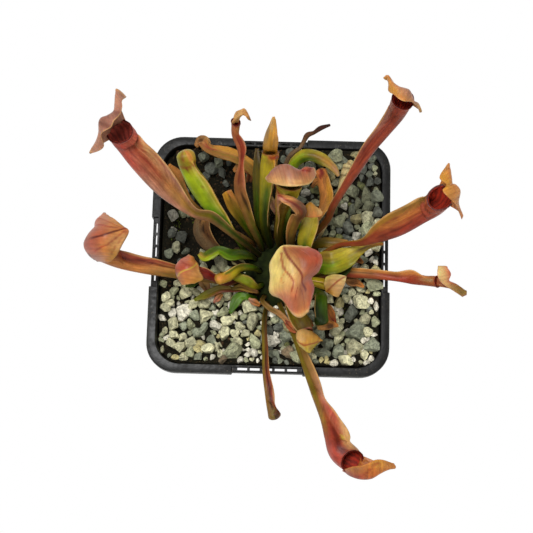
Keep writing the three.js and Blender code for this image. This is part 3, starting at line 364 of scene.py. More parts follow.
# %% The list of leaves
LEAVES = {
    "pitcher_back_left": dict(
        kind="open", slant=0.85, wing=[0.3, 35],
        spine=[[-3, 3, 83.5, 2], [-7.5, 3, 95, 2.2], [-14, 5, 108, 3], [-21, 8.5, 118, 4.2],
            [-27.5, 8.5, 126, 3.8], [-36, 15.5, 133, 9], [-43.5, 22.6, 140, 10.4],
            [-48.5, 27.6, 143.6, 9.4], [-51.6, 30.6, 146.4, 8.6]],
        hood=[
            [[-61.3, 24.6, 142], [-58.8, 27.2, 147], [-57.6, 28.9, 151], [-57.3, 31.6, 153],
             [-56.4, 32.6, 154], [-54.5, 33.4, 154], [-52.7, 35.4, 153], [-52.6, 38.2, 152],
             [-52.8, 40.9, 151], [-53, 43.7, 150]],
            [[-61.4, 24.1, 141.5], [-57.8, 23.9, 146], [-56.1, 25.2, 148], [-56.1, 27.5, 153],
             [-52.8, 28.9, 156], [-52, 30.8, 157], [-50.3, 33.5, 155.5], [-50, 36.7, 153.5],
             [-50.4, 39.3, 152], [-49.7, 41.4, 149]]]),
    "pitcher_left": dict(
        kind="open", slant=0.9, wing=[0.3, 35],
        spine=[[-3.5, -11, 83.5, 1.6], [-10.5, -11, 91, 1.8], [-20.5, -10.5, 95, 3], [-27.5, -9.5, 99, 4.4],
            [-34, -9, 104, 5.2], [-40.5, -8.5, 108, 6.2], [-46.5, -8, 112, 6.8], [-53.5, -7, 115, 6.8],
            [-60, -5, 118, 7]],
        hood=[
            [[-60.3, -8.6, 119], [-63, -7.3, 122], [-64.9, -4, 124], [-63.3, -0.8, 126], [-61.2, 2.1, 126],
             [-61.1, 4.4, 125], [-58.9, 6.5, 124]],
            [[-57, -9.9, 124], [-57, -7.4, 130], [-57.6, -4.7, 132], [-56.9, -1.8, 133], [-56, 1.5, 131],
             [-56.4, 4, 129], [-57.4, 6.4, 126]],
            [[-54.8, -9.2, 125], [-53, -7.1, 127], [-51.1, -4.6, 129], [-48.9, -0.2, 130],
             [-50.6, 1.4, 130], [-53.6, 3.5, 128.5], [-56.4, 5.6, 127]]]),
    "pitcher_left_small": dict(
        kind="open", slant=0.9, wing=[0.2, 60],
        spine=[[-5, -8.5, 83.5, 1.6], [-10.5, -10, 94, 1.8], [-16, -12, 99, 2.2], [-20.5, -10.5, 103, 3.6],
            [-24, -9.5, 106, 5], [-29, -9.5, 108, 5.4]],
        hood=[
            [[-31.5, -14.4, 109], [-33.1, -11.9, 111], [-33.7, -8.8, 112], [-32, -6.2, 112],
             [-29.3, -4.4, 110]],
            [[-29.1, -14.7, 112], [-29.8, -12.1, 115], [-29.4, -9.7, 116], [-28.9, -7.4, 115],
             [-28.4, -4.7, 112]],
            [[-27.1, -13.9, 111], [-24, -12.8, 111], [-25.3, -10.1, 112.5], [-26.2, -7.6, 112.5],
             [-27.6, -5, 111]]]),
    "pitcher_lime_shut": dict(
        kind="shut", wing=[0.2, 60],
        spine=[[-5.5, -1.5, 83.5, 1.6], [-11.5, 4, 96, 2], [-17, 11, 103, 4.2], [-21.8, 16, 108, 7.8],
            [-26, 21.2, 113, 9], [-29.6, 26.2, 117, 7.4], [-31.3, 30.4, 120, 6.6]]),
    "pitcher_back_twisted": dict(
        kind="open", slant=0.6, wing=[0.25, 60], turn=30,
        spine=[[-4, 4.5, 83.5, 2.2], [-4.2, 5, 95, 2.8], [-6.8, 9.3, 103, 3.4], [-9.3, 13.9, 110, 4],
            [-11.2, 18.3, 116, 4.6], [-11.5, 22, 122, 4.2], [-11, 26, 128, 2], [-11, 30, 133, 3.4],
            [-13, 33.5, 137, 3], [-13, 36.5, 141, 3]],
        hood=[
            [[-14, 36, 144], [-12, 37, 146], [-10.5, 37.5, 147]],
            [[-13, 39, 145], [-10, 39.5, 147], [-7.5, 36, 145]]]),
    "pitcher_back_yellow": dict(
        kind="open", slant=-0.1, wing=[0.2, 60],
        spine=[[0, 4.5, 83.5, 2.4], [-1, 8.5, 100, 3.8], [-2, 14.5, 113, 5], [-1.5, 20.5, 122, 6.6],
            [-1, 25.5, 128, 7.4], [-1, 29, 132, 5.6]],
        hood=[
            [[-3.8, 31.5, 133], [-1.2, 29.1, 136.5], [1.7, 31.7, 133]],
            [[-2.7, 34.3, 137], [-0.6, 33.7, 140], [1.6, 33.3, 137]],
            [[-1, 38, 139], [-0.2, 38.5, 140], [0.7, 37.3, 139]],
            [[-0.4, 39.1, 139.5], [-0.2, 39.2, 140], [0, 39, 139.5]]]),
    "pitcher_pink_hood": dict(
        kind="open", slant=-0.3, wing=[0.2, 100],
        spine=[[5, 1.7, 83.5, 2.4], [3.6, 6.1, 100, 3.4], [3.1, 10.2, 112, 4.4], [4, 13.5, 120, 7.6],
            [5.4, 15.7, 126, 10.4], [5.7, 18.4, 131, 9.2]],
        hood=[
            [[-1.9, 18.4, 136], [-0.3, 20.7, 137.5], [2, 22, 139.5], [5.1, 22, 141], [7.8, 21, 140],
             [9.5, 20.6, 139.5], [11.2, 21.7, 139.5], [13.7, 21.8, 137.5]],
            [[-1.2, 17.2, 136.5], [0.5, 15.8, 139], [3.2, 14.6, 141.5], [6.2, 14, 143], [9.2, 14.3, 142.5],
             [12, 15.6, 140], [13.9, 17.8, 138], [14.7, 20.2, 137]]]),
    "pitcher_brown_shrunk": dict(
        kind="shut", wing=[0.3, 150],
        spine=[[3.7, 0.1, 83.5, 2], [5, 4.3, 96, 3], [6.5, 6.5, 109, 4.2], [8.4, 8.6, 119, 4.6],
            [9.5, 10, 127, 4.8], [7.4, 10.3, 134.5, 4.2], [4.7, 10.9, 137, 3.6], [2.5, 12.1, 136, 2.4]]),
    "pitcher_orange_round": dict(
        kind="open", slant=0.3, wing=[0.25, 20],
        spine=[[9.5, 0.5, 83.5, 2], [12, 1.5, 97, 3], [14.5, 5, 104, 6], [14.5, 8.8, 110, 6.6],
            [14, 12.3, 115, 5]],
        hood=[
            [[11.2, 11.6, 118], [12.2, 13, 120], [13.5, 13.9, 121], [15.2, 13.1, 120], [16.9, 12.2, 118.5]],
            [[10.7, 10.2, 117], [12.6, 9, 120], [15.1, 8.9, 120], [17.4, 9.8, 118.5], [17.8, 11.3, 118]]]),
    "pitcher_dry_orange": dict(
        kind="shut", wing=[0.25, 20],
        spine=[[10, 4, 83.5, 1.6], [14, 10, 91, 1.8], [18.5, 16, 96, 3], [20.5, 21.5, 99, 5.2],
            [19.5, 26, 102, 4.8], [18, 30, 104, 4.4]]),
    "pitcher_tall_back_right": dict(
        kind="open", slant=0.45, wing=[0.3, 160],
        spine=[[7.5, -0.5, 83.5, 2], [12, 2, 96, 2.2], [18, 9, 107, 2.6], [22, 14.5, 114, 2.8],
            [25, 19, 121, 2.8], [29, 24.5, 130, 3.8], [32.5, 29.5, 138, 4.8], [36.5, 33.5, 146, 5.2],
            [39.8, 37.3, 152.5, 6.4], [41.6, 40.3, 158, 7.2]],
        hood=[
            [[35.3, 45.8, 163], [36.1, 45.7, 164.5], [36.9, 43.3, 166], [39, 41.4, 167], [41.1, 40.8, 167],
             [42.6, 40.1, 166.5], [44.3, 37.7, 164], [46.1, 37.9, 161], [47.5, 36.4, 158]],
            [[35.4, 45.4, 162.5], [36.4, 44, 164], [36.4, 40.6, 165], [38, 38.3, 167.5], [39, 36.7, 168.5],
             [40.6, 36, 168.5], [43.2, 36.9, 166], [45.1, 37.1, 162], [47.5, 36.6, 157]]]),
    "pitcher_right": dict(
        kind="open", slant=0.95, wing=[0.3, 150],
        spine=[[9, -3.5, 83.5, 2], [16, -2, 94, 2.2], [25, 0, 103, 2.2], [33, 2, 112, 2.8],
            [38.5, 4.5, 118, 7], [44, 6.5, 125, 9.4], [50.3, 9, 133, 9], [54.4, 10.5, 138, 8.4],
            [56.6, 12, 142, 8.2]],
        hood=[
            [[58.4, 22.5, 145], [58.7, 20.1, 147], [58.8, 17.4, 148.5], [58.9, 14.7, 149.5],
             [60.1, 14.1, 150], [61.4, 12.3, 149.5], [61.2, 8.9, 147.5], [63.1, 6, 144]],
            [[57.9, 21.8, 146], [54.8, 17.2, 150], [55.2, 15.1, 151], [56.5, 13.5, 152],
             [55.2, 11.4, 153.5], [57.1, 9, 153.5], [60, 7.1, 150.5], [63.1, 4.7, 142.5]]]),
    "pitcher_right_slim": dict(
        kind="open", slant=0.6, wing=[0.3, 130],
        spine=[[11, -8.5, 83.5, 2], [18, -7.5, 92, 3], [25.5, -6, 95, 4.4], [32.5, -6.5, 98, 4.4],
            [39, -7.5, 101, 4], [46, -8.5, 104, 4.4], [51.5, -9, 106, 5.8], [56, -10.5, 108, 4],
            [60.5, -11, 109, 4]],
        hood=[
            [[63.3, -6.5, 113], [64.3, -8.9, 113.5], [64.1, -11.1, 111.5], [67.4, -12.1, 109.5],
             [71.1, -14.2, 107]],
            [[59.7, -6.4, 115], [59.1, -9.6, 116.5], [61.1, -12.3, 114], [65.1, -14, 110.5],
             [69.8, -15.8, 106.5]]]),
    "pitcher_centre_large": dict(
        kind="open", slant=0.5, wing=[0.2, 90], turn=105,
        spine=[[5.5, -9, 83.5, 2.4], [7, -11, 103, 4.4], [8.5, -13, 119, 6], [9.5, -15.5, 133, 7.4]],
        hood=[
            [[12.6, -7, 143], [15.6, -8.5, 144], [16.7, -11.3, 145], [15.7, -14.5, 144],
             [13.5, -16.8, 143.5], [14.4, -20.4, 143], [12.6, -26.3, 142]],
            [[10.5, -7, 146], [12.1, -10.2, 149], [13.1, -13, 150], [12.5, -15.9, 149.5], [11, -18.8, 149],
             [11.8, -22.1, 147], [11.7, -28.8, 143.5]],
            [[8.5, -7.1, 147.5], [8.8, -10.8, 150], [9.5, -13.9, 150.5], [9.6, -16.8, 150.5],
             [9, -20.3, 151.5], [9.1, -23.6, 150], [10.1, -29.8, 143]],
            [[5.9, -6.9, 147], [5.6, -10.6, 150], [6, -14.4, 151], [6.4, -17.6, 151], [6.4, -20.9, 151],
             [6.6, -24.2, 149], [8, -28.9, 143.5]],
            [[3.5, -7.2, 146], [1.4, -9.5, 145.5], [-0.1, -12.8, 145], [0.2, -16.9, 144],
             [0.3, -21.4, 142.5], [3.1, -23.2, 142], [5.1, -24.9, 142.5]]]),
    "pitcher_small_amber": dict(
        kind="open", slant=0.8, wing=[0.15, 90],
        spine=[[8.5, -11, 83.5, 1.6], [12, -12, 93, 2.6], [16.5, -12, 98, 4], [20.5, -12, 102, 4.8],
            [23, -13, 104, 4.8]],
        hood=[
            [[27.4, -9.8, 107], [26.9, -12.7, 107.5], [24.8, -17, 105]],
            [[23.5, -9.7, 109], [23.4, -13.2, 111], [22.8, -16.8, 108]],
            [[20.3, -10.3, 108], [19.9, -13, 109], [20.6, -15.3, 106.5]]]),
    "pitcher_green_dry_lip": dict(
        kind="shut", wing=[0.15, 40],
        spine=[[10.5, -13, 83.5, 2], [14.5, -12.5, 92, 3], [17.5, -13.5, 95, 4.4], [19, -17, 97, 5.2],
            [19, -21.5, 98, 5.6], [19.5, -25.5, 98, 5.2]],
        hood=[
            [[25, -25.5, 99], [22.5, -27, 100], [18, -28, 99]],
            [[26, -27, 98], [22.5, -28, 98], [18.5, -28.5, 98]]]),
    "pitcher_olive_wide": dict(
        kind="open", slant=0.35, wing=[0.15, 40],
        spine=[[6.5, -14.5, 83.5, 2.2], [8, -19, 94, 4.4], [10, -23, 98, 7.4], [12, -27, 101, 8],
            [13.6, -30.2, 101.5, 5.6]],
        hood=[
            [[19.4, -32.6, 104], [15.3, -30.4, 107], [12.5, -29.6, 107], [10.2, -30.3, 106]],
            [[19.4, -33, 104], [15.4, -34.1, 108], [12.1, -34.7, 108.5], [9.8, -32.9, 107]],
            [[17.9, -34, 103.5], [15.3, -37.4, 103.5], [13.6, -37, 104], [11.4, -35.3, 104]]]),
    "pitcher_front_long": dict(
        kind="open", slant=0.8, wing=[0.32, 150],
        spine=[[3.5, -15.5, 83.5, 2], [6, -22.5, 90, 1.8], [9.5, -29.5, 93, 2.2], [12.5, -36.5, 97, 3.6],
            [17.1, -48.6, 104, 5], [19.1, -55.3, 109, 4.4], [22.1, -61.3, 113, 7], [24.3, -66.5, 116, 9],
            [26.2, -72, 118.5, 9.4], [29.8, -75.9, 120, 8.2]],
        hood=[
            [[43.4, -77.2, 120], [41.1, -78.2, 121], [38.7, -79.5, 121.5], [36, -81.2, 121],
             [32.7, -81.4, 120], [29, -80.3, 119.5], [26.8, -78.5, 119]],
            [[43.4, -76, 120.5], [40, -75, 124], [37.2, -74.9, 125.5], [34.8, -76, 126], [32.1, -76.8, 126],
             [29.9, -77.4, 125], [28.3, -77.8, 123.5]]]),
    "pitcher_front_slim": dict(
        kind="shut", wing=[0.35, 160],
        spine=[[-0.5, -15, 83.5, 1.6], [-1.5, -24.5, 93, 2], [-1, -34.5, 98, 2.4], [-0.5, -44, 103, 2.6],
            [1, -52, 106, 3.6], [1.5, -56.5, 107, 3.2], [3, -60.5, 108, 4.6]]),
    "pitcher_shut_upper": dict(
        kind="shut", wing=[0.15, 60],
        spine=[[-3, -5, 83.5, 1.6], [-6.5, -5.5, 97, 2.6], [-11, -6.5, 102, 3.4], [-15, -10, 105, 4.8],
            [-18.5, -12, 107, 4]]),
    "pitcher_shut_lower": dict(
        kind="shut", wing=[0.15, 60],
        spine=[[-2, -9.5, 83.5, 1.6], [-5, -12, 93, 2.6], [-8.5, -10.5, 97, 4.8], [-12.5, -9.5, 99, 3.4]]),
    "pitcher_dry_crumpled": dict(
        kind="shut", wing=[0.2, 30],
        spine=[[-7.5, -3.5, 83.5, 1.6], [-12, -2.5, 90, 1.6], [-18, 1, 92, 2.2], [-22.5, 3, 95, 5.6],
            [-25.5, 7, 98, 7], [-25.5, 11.5, 99, 6], [-25, 14.5, 99, 2.6]]),
    "leaf_back_curved": dict(
        kind="flat", fold=0.35,
        spine=[[-1.5, 7.5, 83.5, 1.6], [-1.8, 14.2, 95, 1.8], [-2.5, 22.5, 100, 3], [-6.5, 29.5, 104, 4.4],
            [-13, 34, 106, 4.8], [-19.5, 36, 106, 4.8], [-24, 37.5, 105, 3.4], [-26.5, 40.5, 104, 3.8]]),
    "leaf_back_spotted": dict(
        kind="flat", fold=0.5,
        spine=[[-4.2, 7.2, 83.5, 1.6], [-8.4, 9, 94, 2.2], [-11.4, 12.4, 100.5, 3.4],
            [-14.2, 16.2, 105, 4.8], [-16.7, 20.5, 108, 3.6]]),
    "leaf_back_slender": dict(
        kind="flat", fold=0.4,
        spine=[[-2.4, 5.8, 83.5, 1.6], [-4, 9.8, 95, 2], [-5.2, 16.8, 102, 2.8], [-5.8, 24.6, 106, 2.8],
            [-5.8, 31.4, 109, 2.6], [-5.9, 36.6, 110, 1.2]]),
    "leaf_back_right_arched": dict(
        kind="flat", fold=-0.5,
        spine=[[4.9, 6.8, 83.5, 1.6], [5.7, 12.7, 93, 2.2], [6.1, 22.1, 99, 3.4], [6.7, 30.7, 103, 4.2],
            [9.7, 34.7, 106, 4.6], [14.4, 35.4, 107.5, 4.6], [19.3, 33.4, 107.5, 4.2],
            [22.7, 30.9, 106.5, 2.8], [24.5, 28.2, 105.5, 1.2]]),
    "leaf_right_yellow": dict(
        kind="flat", fold=0.3,
        spine=[[8, -6, 83.5, 2], [13, -6.5, 95, 3.8], [18.5, -3.5, 100, 7.4], [23, -2.5, 103, 8.8],
            [27.5, -1, 103.5, 7.4], [32, 0.5, 104, 4.4], [36.5, 2.5, 104, 1.8], [41.5, 3.5, 103.5, 1]]),
    "leaf_right_pale_tip": dict(
        kind="flat", fold=-0.4,
        spine=[[12, -0.5, 83.5, 1.6], [15.5, 3.5, 92, 2.2], [19.5, 5, 95, 3.8], [24, 5, 96, 3.8],
            [29, 5, 96, 2.2]]),
    "leaf_inner_bright": dict(
        kind="flat", fold=0.4,
        spine=[[6.5, 3.5, 83.5, 1.2], [5, 6, 94, 1.8], [7.5, 8, 100, 2.6], [11, 10, 103, 1.4]]),
    "leaf_left_curled": dict(
        kind="flat", fold=0.5,
        spine=[[-5.5, -1, 83.5, 1.6], [-8, 0.5, 91, 2.2], [-11, 0, 95, 3.8], [-15, -1, 97, 4.2],
            [-19, 0.5, 98, 3.4], [-22, -1, 98, 3.8], [-24.5, -2, 97, 3.4], [-26.5, -0.5, 96, 1.8]]),
    "leaf_front_left_narrow": dict(
        kind="flat", fold=0.4,
        spine=[[-2.5, -13.5, 83.5, 1.6], [-7, -13, 91, 1.6], [-13, -13, 92.5, 1.8], [-18.5, -13, 92.5, 3],
            [-23.5, -15.5, 92, 3], [-28, -17.5, 91, 1]]),
    "leaf_front_left_pointed": dict(
        kind="flat", fold=0.3,
        spine=[[-4, -15, 83.5, 1.2], [-7.5, -15.5, 90, 2.2], [-10.5, -15.5, 90.5, 3.4],
            [-12.5, -17.5, 90.5, 3.8], [-14.5, -22, 89.5, 1]]),
    "leaf_front_ribbon": dict(
        kind="flat", fold=0.5,
        spine=[[-1.5, -13.5, 83.5, 1.6], [-2.5, -17, 90, 1.8], [0.5, -20, 92, 2], [4, -22, 93, 2],
            [7, -25, 94, 2], [9, -28.5, 94, 1.6]]),
    "leaf_back_dry_tip": dict(
        kind="flat", fold=0.4,
        spine=[[-5, 5.5, 83.5, 1.2], [-8.5, 6.5, 91, 1.2], [-21, 12.5, 94, 1.6], [-30, 18.5, 97, 1.8],
            [-34, 25.5, 99, 2.6], [-35.5, 29, 100, 3], [-39, 32, 101, 1.2]]),
    "stalk_dead": dict(
        kind="shut", wing=[0, 90],
        spine=[[1.4, 7, 83.5, 1.8], [2.1, 14.1, 100, 1.4], [3.2, 23, 110, 1.2], [5, 30.9, 113, 1.6],
            [7.2, 33.8, 115, 1.8], [9.5, 35.1, 116.5, 1.3], [11, 37.5, 118, 1.6], [12.2, 39.4, 119, 2],
            [14.5, 40.3, 119.5, 1.4], [16.8, 42, 119.5, 1.8], [20.1, 43.4, 119, 0.9]]),
    "tube_dry_fallen": dict(
        kind="shut", wing=[0, 90],
        spine=[[13, -0.5, 83.5, 1.2], [18, 7, 91, 1.2], [22.5, 16, 92, 1.2], [25.5, 25, 92, 1.6],
            [27.5, 31, 92, 3.4], [28.5, 35, 92, 3.8], [30, 38, 92, 3.2]]),
}
print("leaves:", len(LEAVES))

# %% [markdown]
# ## Curves and frames
# A Catmull-Rom curve passes through every given row, which suits a course read off a picture. At
# each place on it a frame of three directions is needed to build a section: along the leaf, to its
# front, and to its side.

# %% Curves through rows, and the frame of a leaf
CROWN_X, CROWN_Y, CROWN_RADIUS, CROWN_MARGIN = 3.5, -5.0, 15.0, 2.2
TUBE_WALL = 0.8
LEAF_GAP = 0.4


def curve_weights(count, u):
    """How much each given row counts at the places u along a Catmull-Rom curve."""
    u = np.atleast_1d(np.asarray(u, float))
    weights = np.zeros((len(u), count))
    first = np.minimum(np.floor(u).astype(int), count - 2)
    f = u - first
    parts = [-0.5 * f + f**2 - 0.5 * f**3, 1 - 2.5 * f**2 + 1.5 * f**3,
             0.5 * f + 2 * f**2 - 1.5 * f**3, -0.5 * f**2 + 0.5 * f**3]
    for n, i in enumerate(first):
        for k in range(4):
            j, w = i + k - 1, parts[k][n]
            if j < 0:
                weights[n, 0] += 2 * w
                weights[n, 1] -= w
            elif j >= count:
                weights[n, count - 1] += 2 * w
                weights[n, count - 2] -= w
            else:
                weights[n, j] += w
    return weights


def curve_at(rows, u):
    rows = np.asarray(rows, float)
    return curve_weights(len(rows), u) @ rows


def smooth(x):
    x = np.clip(x, 0, 1)
    return x * x * (3 - 2 * x)


def unit(v):
    return v / np.linalg.norm(v, axis=-1, keepdims=True)


def frames_at(leaf, u):
    """Tangent, front and side of a leaf at the places u."""
    last = len(leaf["spine"]) - 1
    u = np.atleast_1d(u)
    ahead = curve_at(leaf["spine"], np.minimum(u + 0.05, last))
    behind = curve_at(leaf["spine"], np.maximum(u - 0.05, 0))
    tangent = unit((ahead - behind)[:, :3])
    reach = leaf["spine"][last] - leaf["spine"][0]
    outward = tangent[:, :2] + 0.3 * reach[:2] / np.hypot(reach[0], reach[1])
    across = unit(np.stack([outward[:, 1], -outward[:, 0], np.zeros(len(u))], axis=1))
    up = unit(np.cross(across, tangent))
    turn = math.radians(leaf.get("turn", 0))
    front = up * math.cos(turn) + np.cross(tangent, up) * math.sin(turn)
    return tangent, front, np.cross(tangent, front)


# %% [markdown]
# ## Bending the leaves clear of each other
# Courses read off one picture cross in places. Samples along all the leaves push each other apart, a
# little at a time and mostly up and down, which the picture doesn't show. It is the same rule as in
# the solids, step for step, so both come to rest in the same place.

# %% Relax the courses
ROUNDS, ROUNDS_PER_SEARCH, SEARCH = 300, 12, 3
NUDGE, NEAR_ENOUGH, HOOD_RADIUS = 0.25, 0.02, 0.9
SINK_BY_CROWN, RISE_ABOVE = 0.3, 2


def keep_in_crown(foot):
    """Moves a leaf's foot back on the crown when it strays."""
    way = foot[:2] - (CROWN_X, CROWN_Y)
    far, most = np.hypot(*way), CROWN_RADIUS - CROWN_MARGIN
    if far > most:
        foot[:2] = (CROWN_X, CROWN_Y) + way * most / far


def clear_samples(leaf):
    """Places along a leaf, their radii, and the weights that give them from the spine."""
    last = len(leaf["spine"]) - 1
    # six to a span near the crown, where the leaves crowd, and three to a span above
    places = [k / 6 for k in range(0, 12)] + [k / 6 for k in range(12, last * 6 + 1, 2)]
    places = [u for u in places if u <= last]
    width = curve_at(leaf["spine"], places)[:, 3]
    share = 1 - 0.25 * smooth((width - 3) / 4) if leaf["kind"] == "flat" else 1.0
    return np.array(places), np.maximum(width / 2 * share, 0.65), curve_weights(last + 1, places)


def bend_clear(leaves):
    """Pushes the leaves apart, round by round, and returns the rounds and what is left."""
    fixed = [clear_samples(leaf) for leaf in leaves]
    hoods = [np.array([p for row in leaf.get("hood", []) for p in row]).reshape(-1, 3) for leaf in leaves]
    owner = np.concatenate([[n] * (len(f[0]) + len(h)) for n, (f, h) in enumerate(zip(fixed, hoods))])
    place = np.concatenate([np.concatenate([f[0], [len(leaf["spine"]) - 1.0] * len(h)])
                            for f, h, leaf in zip(fixed, hoods, leaves)])
    radius = np.concatenate([np.concatenate([f[1], [HOOD_RADIUS] * len(h)]) for f, h in zip(fixed, hoods)])
    for turn in range(ROUNDS):
        spots = np.concatenate([np.concatenate([f[2] @ leaf["spine"][:, :3], h + leaf["moved"]])
                                for f, h, leaf in zip(fixed, hoods, leaves)])
        if turn % ROUNDS_PER_SEARCH == 0:
            apart = np.linalg.norm(spots[:, None] - spots[None], axis=2)
            near = apart < radius[:, None] + radius[None] + LEAF_GAP + SEARCH
            near &= owner[:, None] != owner[None]
            first, second = np.nonzero(np.triu(near, 1))
        away = spots[first] - spots[second]
        distance = np.linalg.norm(away, axis=1)
        lack = radius[first] + radius[second] + LEAF_GAP - distance
        hits = np.nonzero(lack > 0)[0]
        for n in hits:
            i, j = first[n], second[n]
            way = away[n].copy()
            way[2] *= SINK_BY_CROWN if place[i] < 1 or place[j] < 1 else RISE_ABOVE
            way *= lack[n] * NUDGE / np.linalg.norm(way)
            push(leaves[owner[i]], place[i], way)
            push(leaves[owner[j]], place[j], -way)
        if not len(hits) or lack.max() < NEAR_ENOUGH:
            break
    return turn, float(max(lack.max(), 0))


def push(leaf, u, way):
    """Moves a leaf at one place: the two rows next to it share the move, and a hood goes along."""
    last = len(leaf["spine"]) - 1
    i = min(int(u), last - 1)
    for index, weight in ((i, 1 - (u - i)), (i + 1, u - i)):
        move = way * weight
        if index == 0:
            move[2] = 0
        leaf["spine"][index, :3] += move
        if index == 0:
            keep_in_crown(leaf["spine"][0])
        if index == last:
            leaf["moved"] += way * weight


for leaf in LEAVES.values():
    leaf["spine"] = np.array(leaf["spine"], float)
    leaf["moved"] = np.zeros(3)
    keep_in_crown(leaf["spine"][0])
print("rounds and what is left to clear, in mm:", bend_clear(list(LEAVES.values())))

# %% [markdown]
# ## A mesh that is painted while it is built
# A leaf is put together from grids of points: the outside of a tube, its throat, a hood. This small
# class collects them, with the paint of each point and its place on the UV map, and makes one mesh
# at the end. The paint is kept in attributes, so it needs no image.

# %% The class that collects a leaf's grids
class Skin:
    def __init__(self):
        self.points, self.tint, self.vein_tint, self.veins, self.dry = [], [], [], [], []
        self.faces, self.uvs = [], []

    def add(self, points, tint, vein_tint, veins, dry):
        """Adds points and returns the number of the first."""
        start = sum(len(p) for p in self.points)
        count = len(points)
        self.points.append(np.asarray(points, float))
        self.tint.append(np.broadcast_to(tint, (count, 3)))
        self.vein_tint.append(np.broadcast_to(vein_tint, (count, 3)))
        self.veins.append(np.broadcast_to(veins, count))
        self.dry.append(np.broadcast_to(dry, count))
        return start

    def face(self, corners, uvs):
        self.faces.append(corners)
        self.uvs.extend(uvs)

    def tube(self, start, uv, closed_start=True, closed_end=True):
        """Faces over rings. uv is (rings, sides + 1, 2): its last column closes the seam."""
        rings, sides = uv.shape[0], uv.shape[1] - 1
        for i in range(rings - 1):
            for j in range(sides):
                k = (j + 1) % sides
                a, b = start + i * sides + j, start + i * sides + k
                self.face((a, b, b + sides, a + sides),
                          (uv[i, j], uv[i, j + 1], uv[i + 1, j + 1], uv[i + 1, j]))
        if closed_start:
            self.face([start + j for j in range(sides)][::-1], uv[0, :sides][::-1])
        if closed_end:
            last = start + (rings - 1) * sides
            self.face([last + j for j in range(sides)], uv[-1, :sides])

    def slab(self, top, under, uv):
        """Faces of a closed sheet between two grids of points."""
        rows, columns = uv.shape[:2]

        def corner(start, i, j):
            return start + i * columns + j

        for i in range(rows - 1):
            for j in range(columns - 1):
                ring = ((i, j), (i, j + 1), (i + 1, j + 1), (i + 1, j))
                self.face([corner(top, *c) for c in ring], [uv[c] for c in ring])
                self.face([corner(under, *c) for c in ring[::-1]], [uv[c] for c in ring[::-1]])
        border = [(0, j) for j in range(columns)] + [(i, columns - 1) for i in range(1, rows)]
        border += [(rows - 1, j) for j in range(columns - 2, -1, -1)]
        border += [(i, 0) for i in range(rows - 2, 0, -1)]
        for c, d in zip(border, border[1:] + border[:1]):
            self.face([corner(top, *d), corner(top, *c), corner(under, *c), corner(under, *d)],
                      [uv[d], uv[c], uv[c], uv[d]])

    def make(self, name, material):
        points = np.concatenate(self.points)
        made = plain_mesh(name, points, self.faces)
        mesh = made.data
        grain = mesh.uv_layers.new(name="grain")
        grain.data.foreach_set("uv", np.concatenate([np.asarray(uv, float) for uv in self.uvs]))
        for label, rows in (("tint", self.tint), ("vein_tint", self.vein_tint)):
            rgba = np.ones((len(points), 4))
            rgba[:, :3] = np.concatenate(rows)
            mesh.attributes.new(label, "FLOAT_COLOR", "POINT").data.foreach_set("color", rgba.ravel())
        for label, rows in (("veins", self.veins), ("dry", self.dry)):
            mesh.attributes.new(label, "FLOAT", "POINT").data.foreach_set("value", np.concatenate(rows))
        work = bmesh.new()
        work.from_mesh(mesh)
        bmesh.ops.recalc_face_normals(work, faces=work.faces)
        work.to_mesh(mesh)
        work.free()
        mesh.materials.append(material)
        return made


# %% [markdown]
# ## Painting by dabs and lines
# A dab says "about here the leaf has this colour", as (across, along, colour). All the dabs of a
# surface are blended, the nearer ones counting more. A line is a fold, a rim or a stripe with a
# colour of its own: its points, its width, its colour and its strength.

# %% Blend dabs, then draw lines over them
DAB_CORE, DAB_FALL = 0.02, 1.6


def dabbed(across, along, dabs, stretch=2.5):
    """The colour at each point. A leaf is long, so a step along it counts stretch times."""
    total = np.zeros((len(across), 3))
    weight_sum = np.zeros(len(across))
    for a, b, colour in dabs:
        weight = 1 / ((across - a)**2 + ((along - b) * stretch)**2 + DAB_CORE)**DAB_FALL
        total += weight[:, None] * PALETTE[colour]
        weight_sum += weight
    return total / weight_sum[:, None]


def lined(tint, across, along, lines, stretch=2.5):
    """Draws each line with a soft edge over the tint."""
    tint = tint.copy()
    for points, width, colour, strength in lines:
        here = np.stack([across, along * stretch], axis=1)
        nearest = np.full(len(across), 9.0)
        stops = [np.array([a, b * stretch]) for a, b in points]
        if len(stops) == 1:
            stops = stops * 2
        for p, q in zip(stops, stops[1:]):
            length = max(np.dot(q - p, q - p), 1e-9)
            f = np.clip((here - p) @ (q - p) / length, 0, 1)
            nearest = np.minimum(nearest, np.linalg.norm(here - p - f[:, None] * (q - p), axis=1))
        share = strength * smooth(1.4 - 1.4 * nearest / width)
        tint += share[:, None] * (PALETTE[colour] - tint)
    return tint


# %% [markdown]
# ## Tubes
# A pitcher is a tube whose oval section widens towards the mouth. A thin wing stands on it, wavy along
# its crest. The section is placed with the leaf's frame, and near the mouth it tips back, so that the
# mouth faces up. Small waves in the radius keep it from looking turned on a lathe.

# %% One ring of a tube
BODY_SIDES, WING_STEPS, RINGS_PER_SPAN = 26, 4, 7
OVAL = 0.9
WING_ROOT, WING_HALF_THICK = 0.6, 0.16
WING_FROM, WING_RISE, WING_UNTIL, WING_FALL = 0.12, 0.25, 0.97, 0.15
MOUTH_FROM, MOUTH_SPAN = 0.72, 0.28


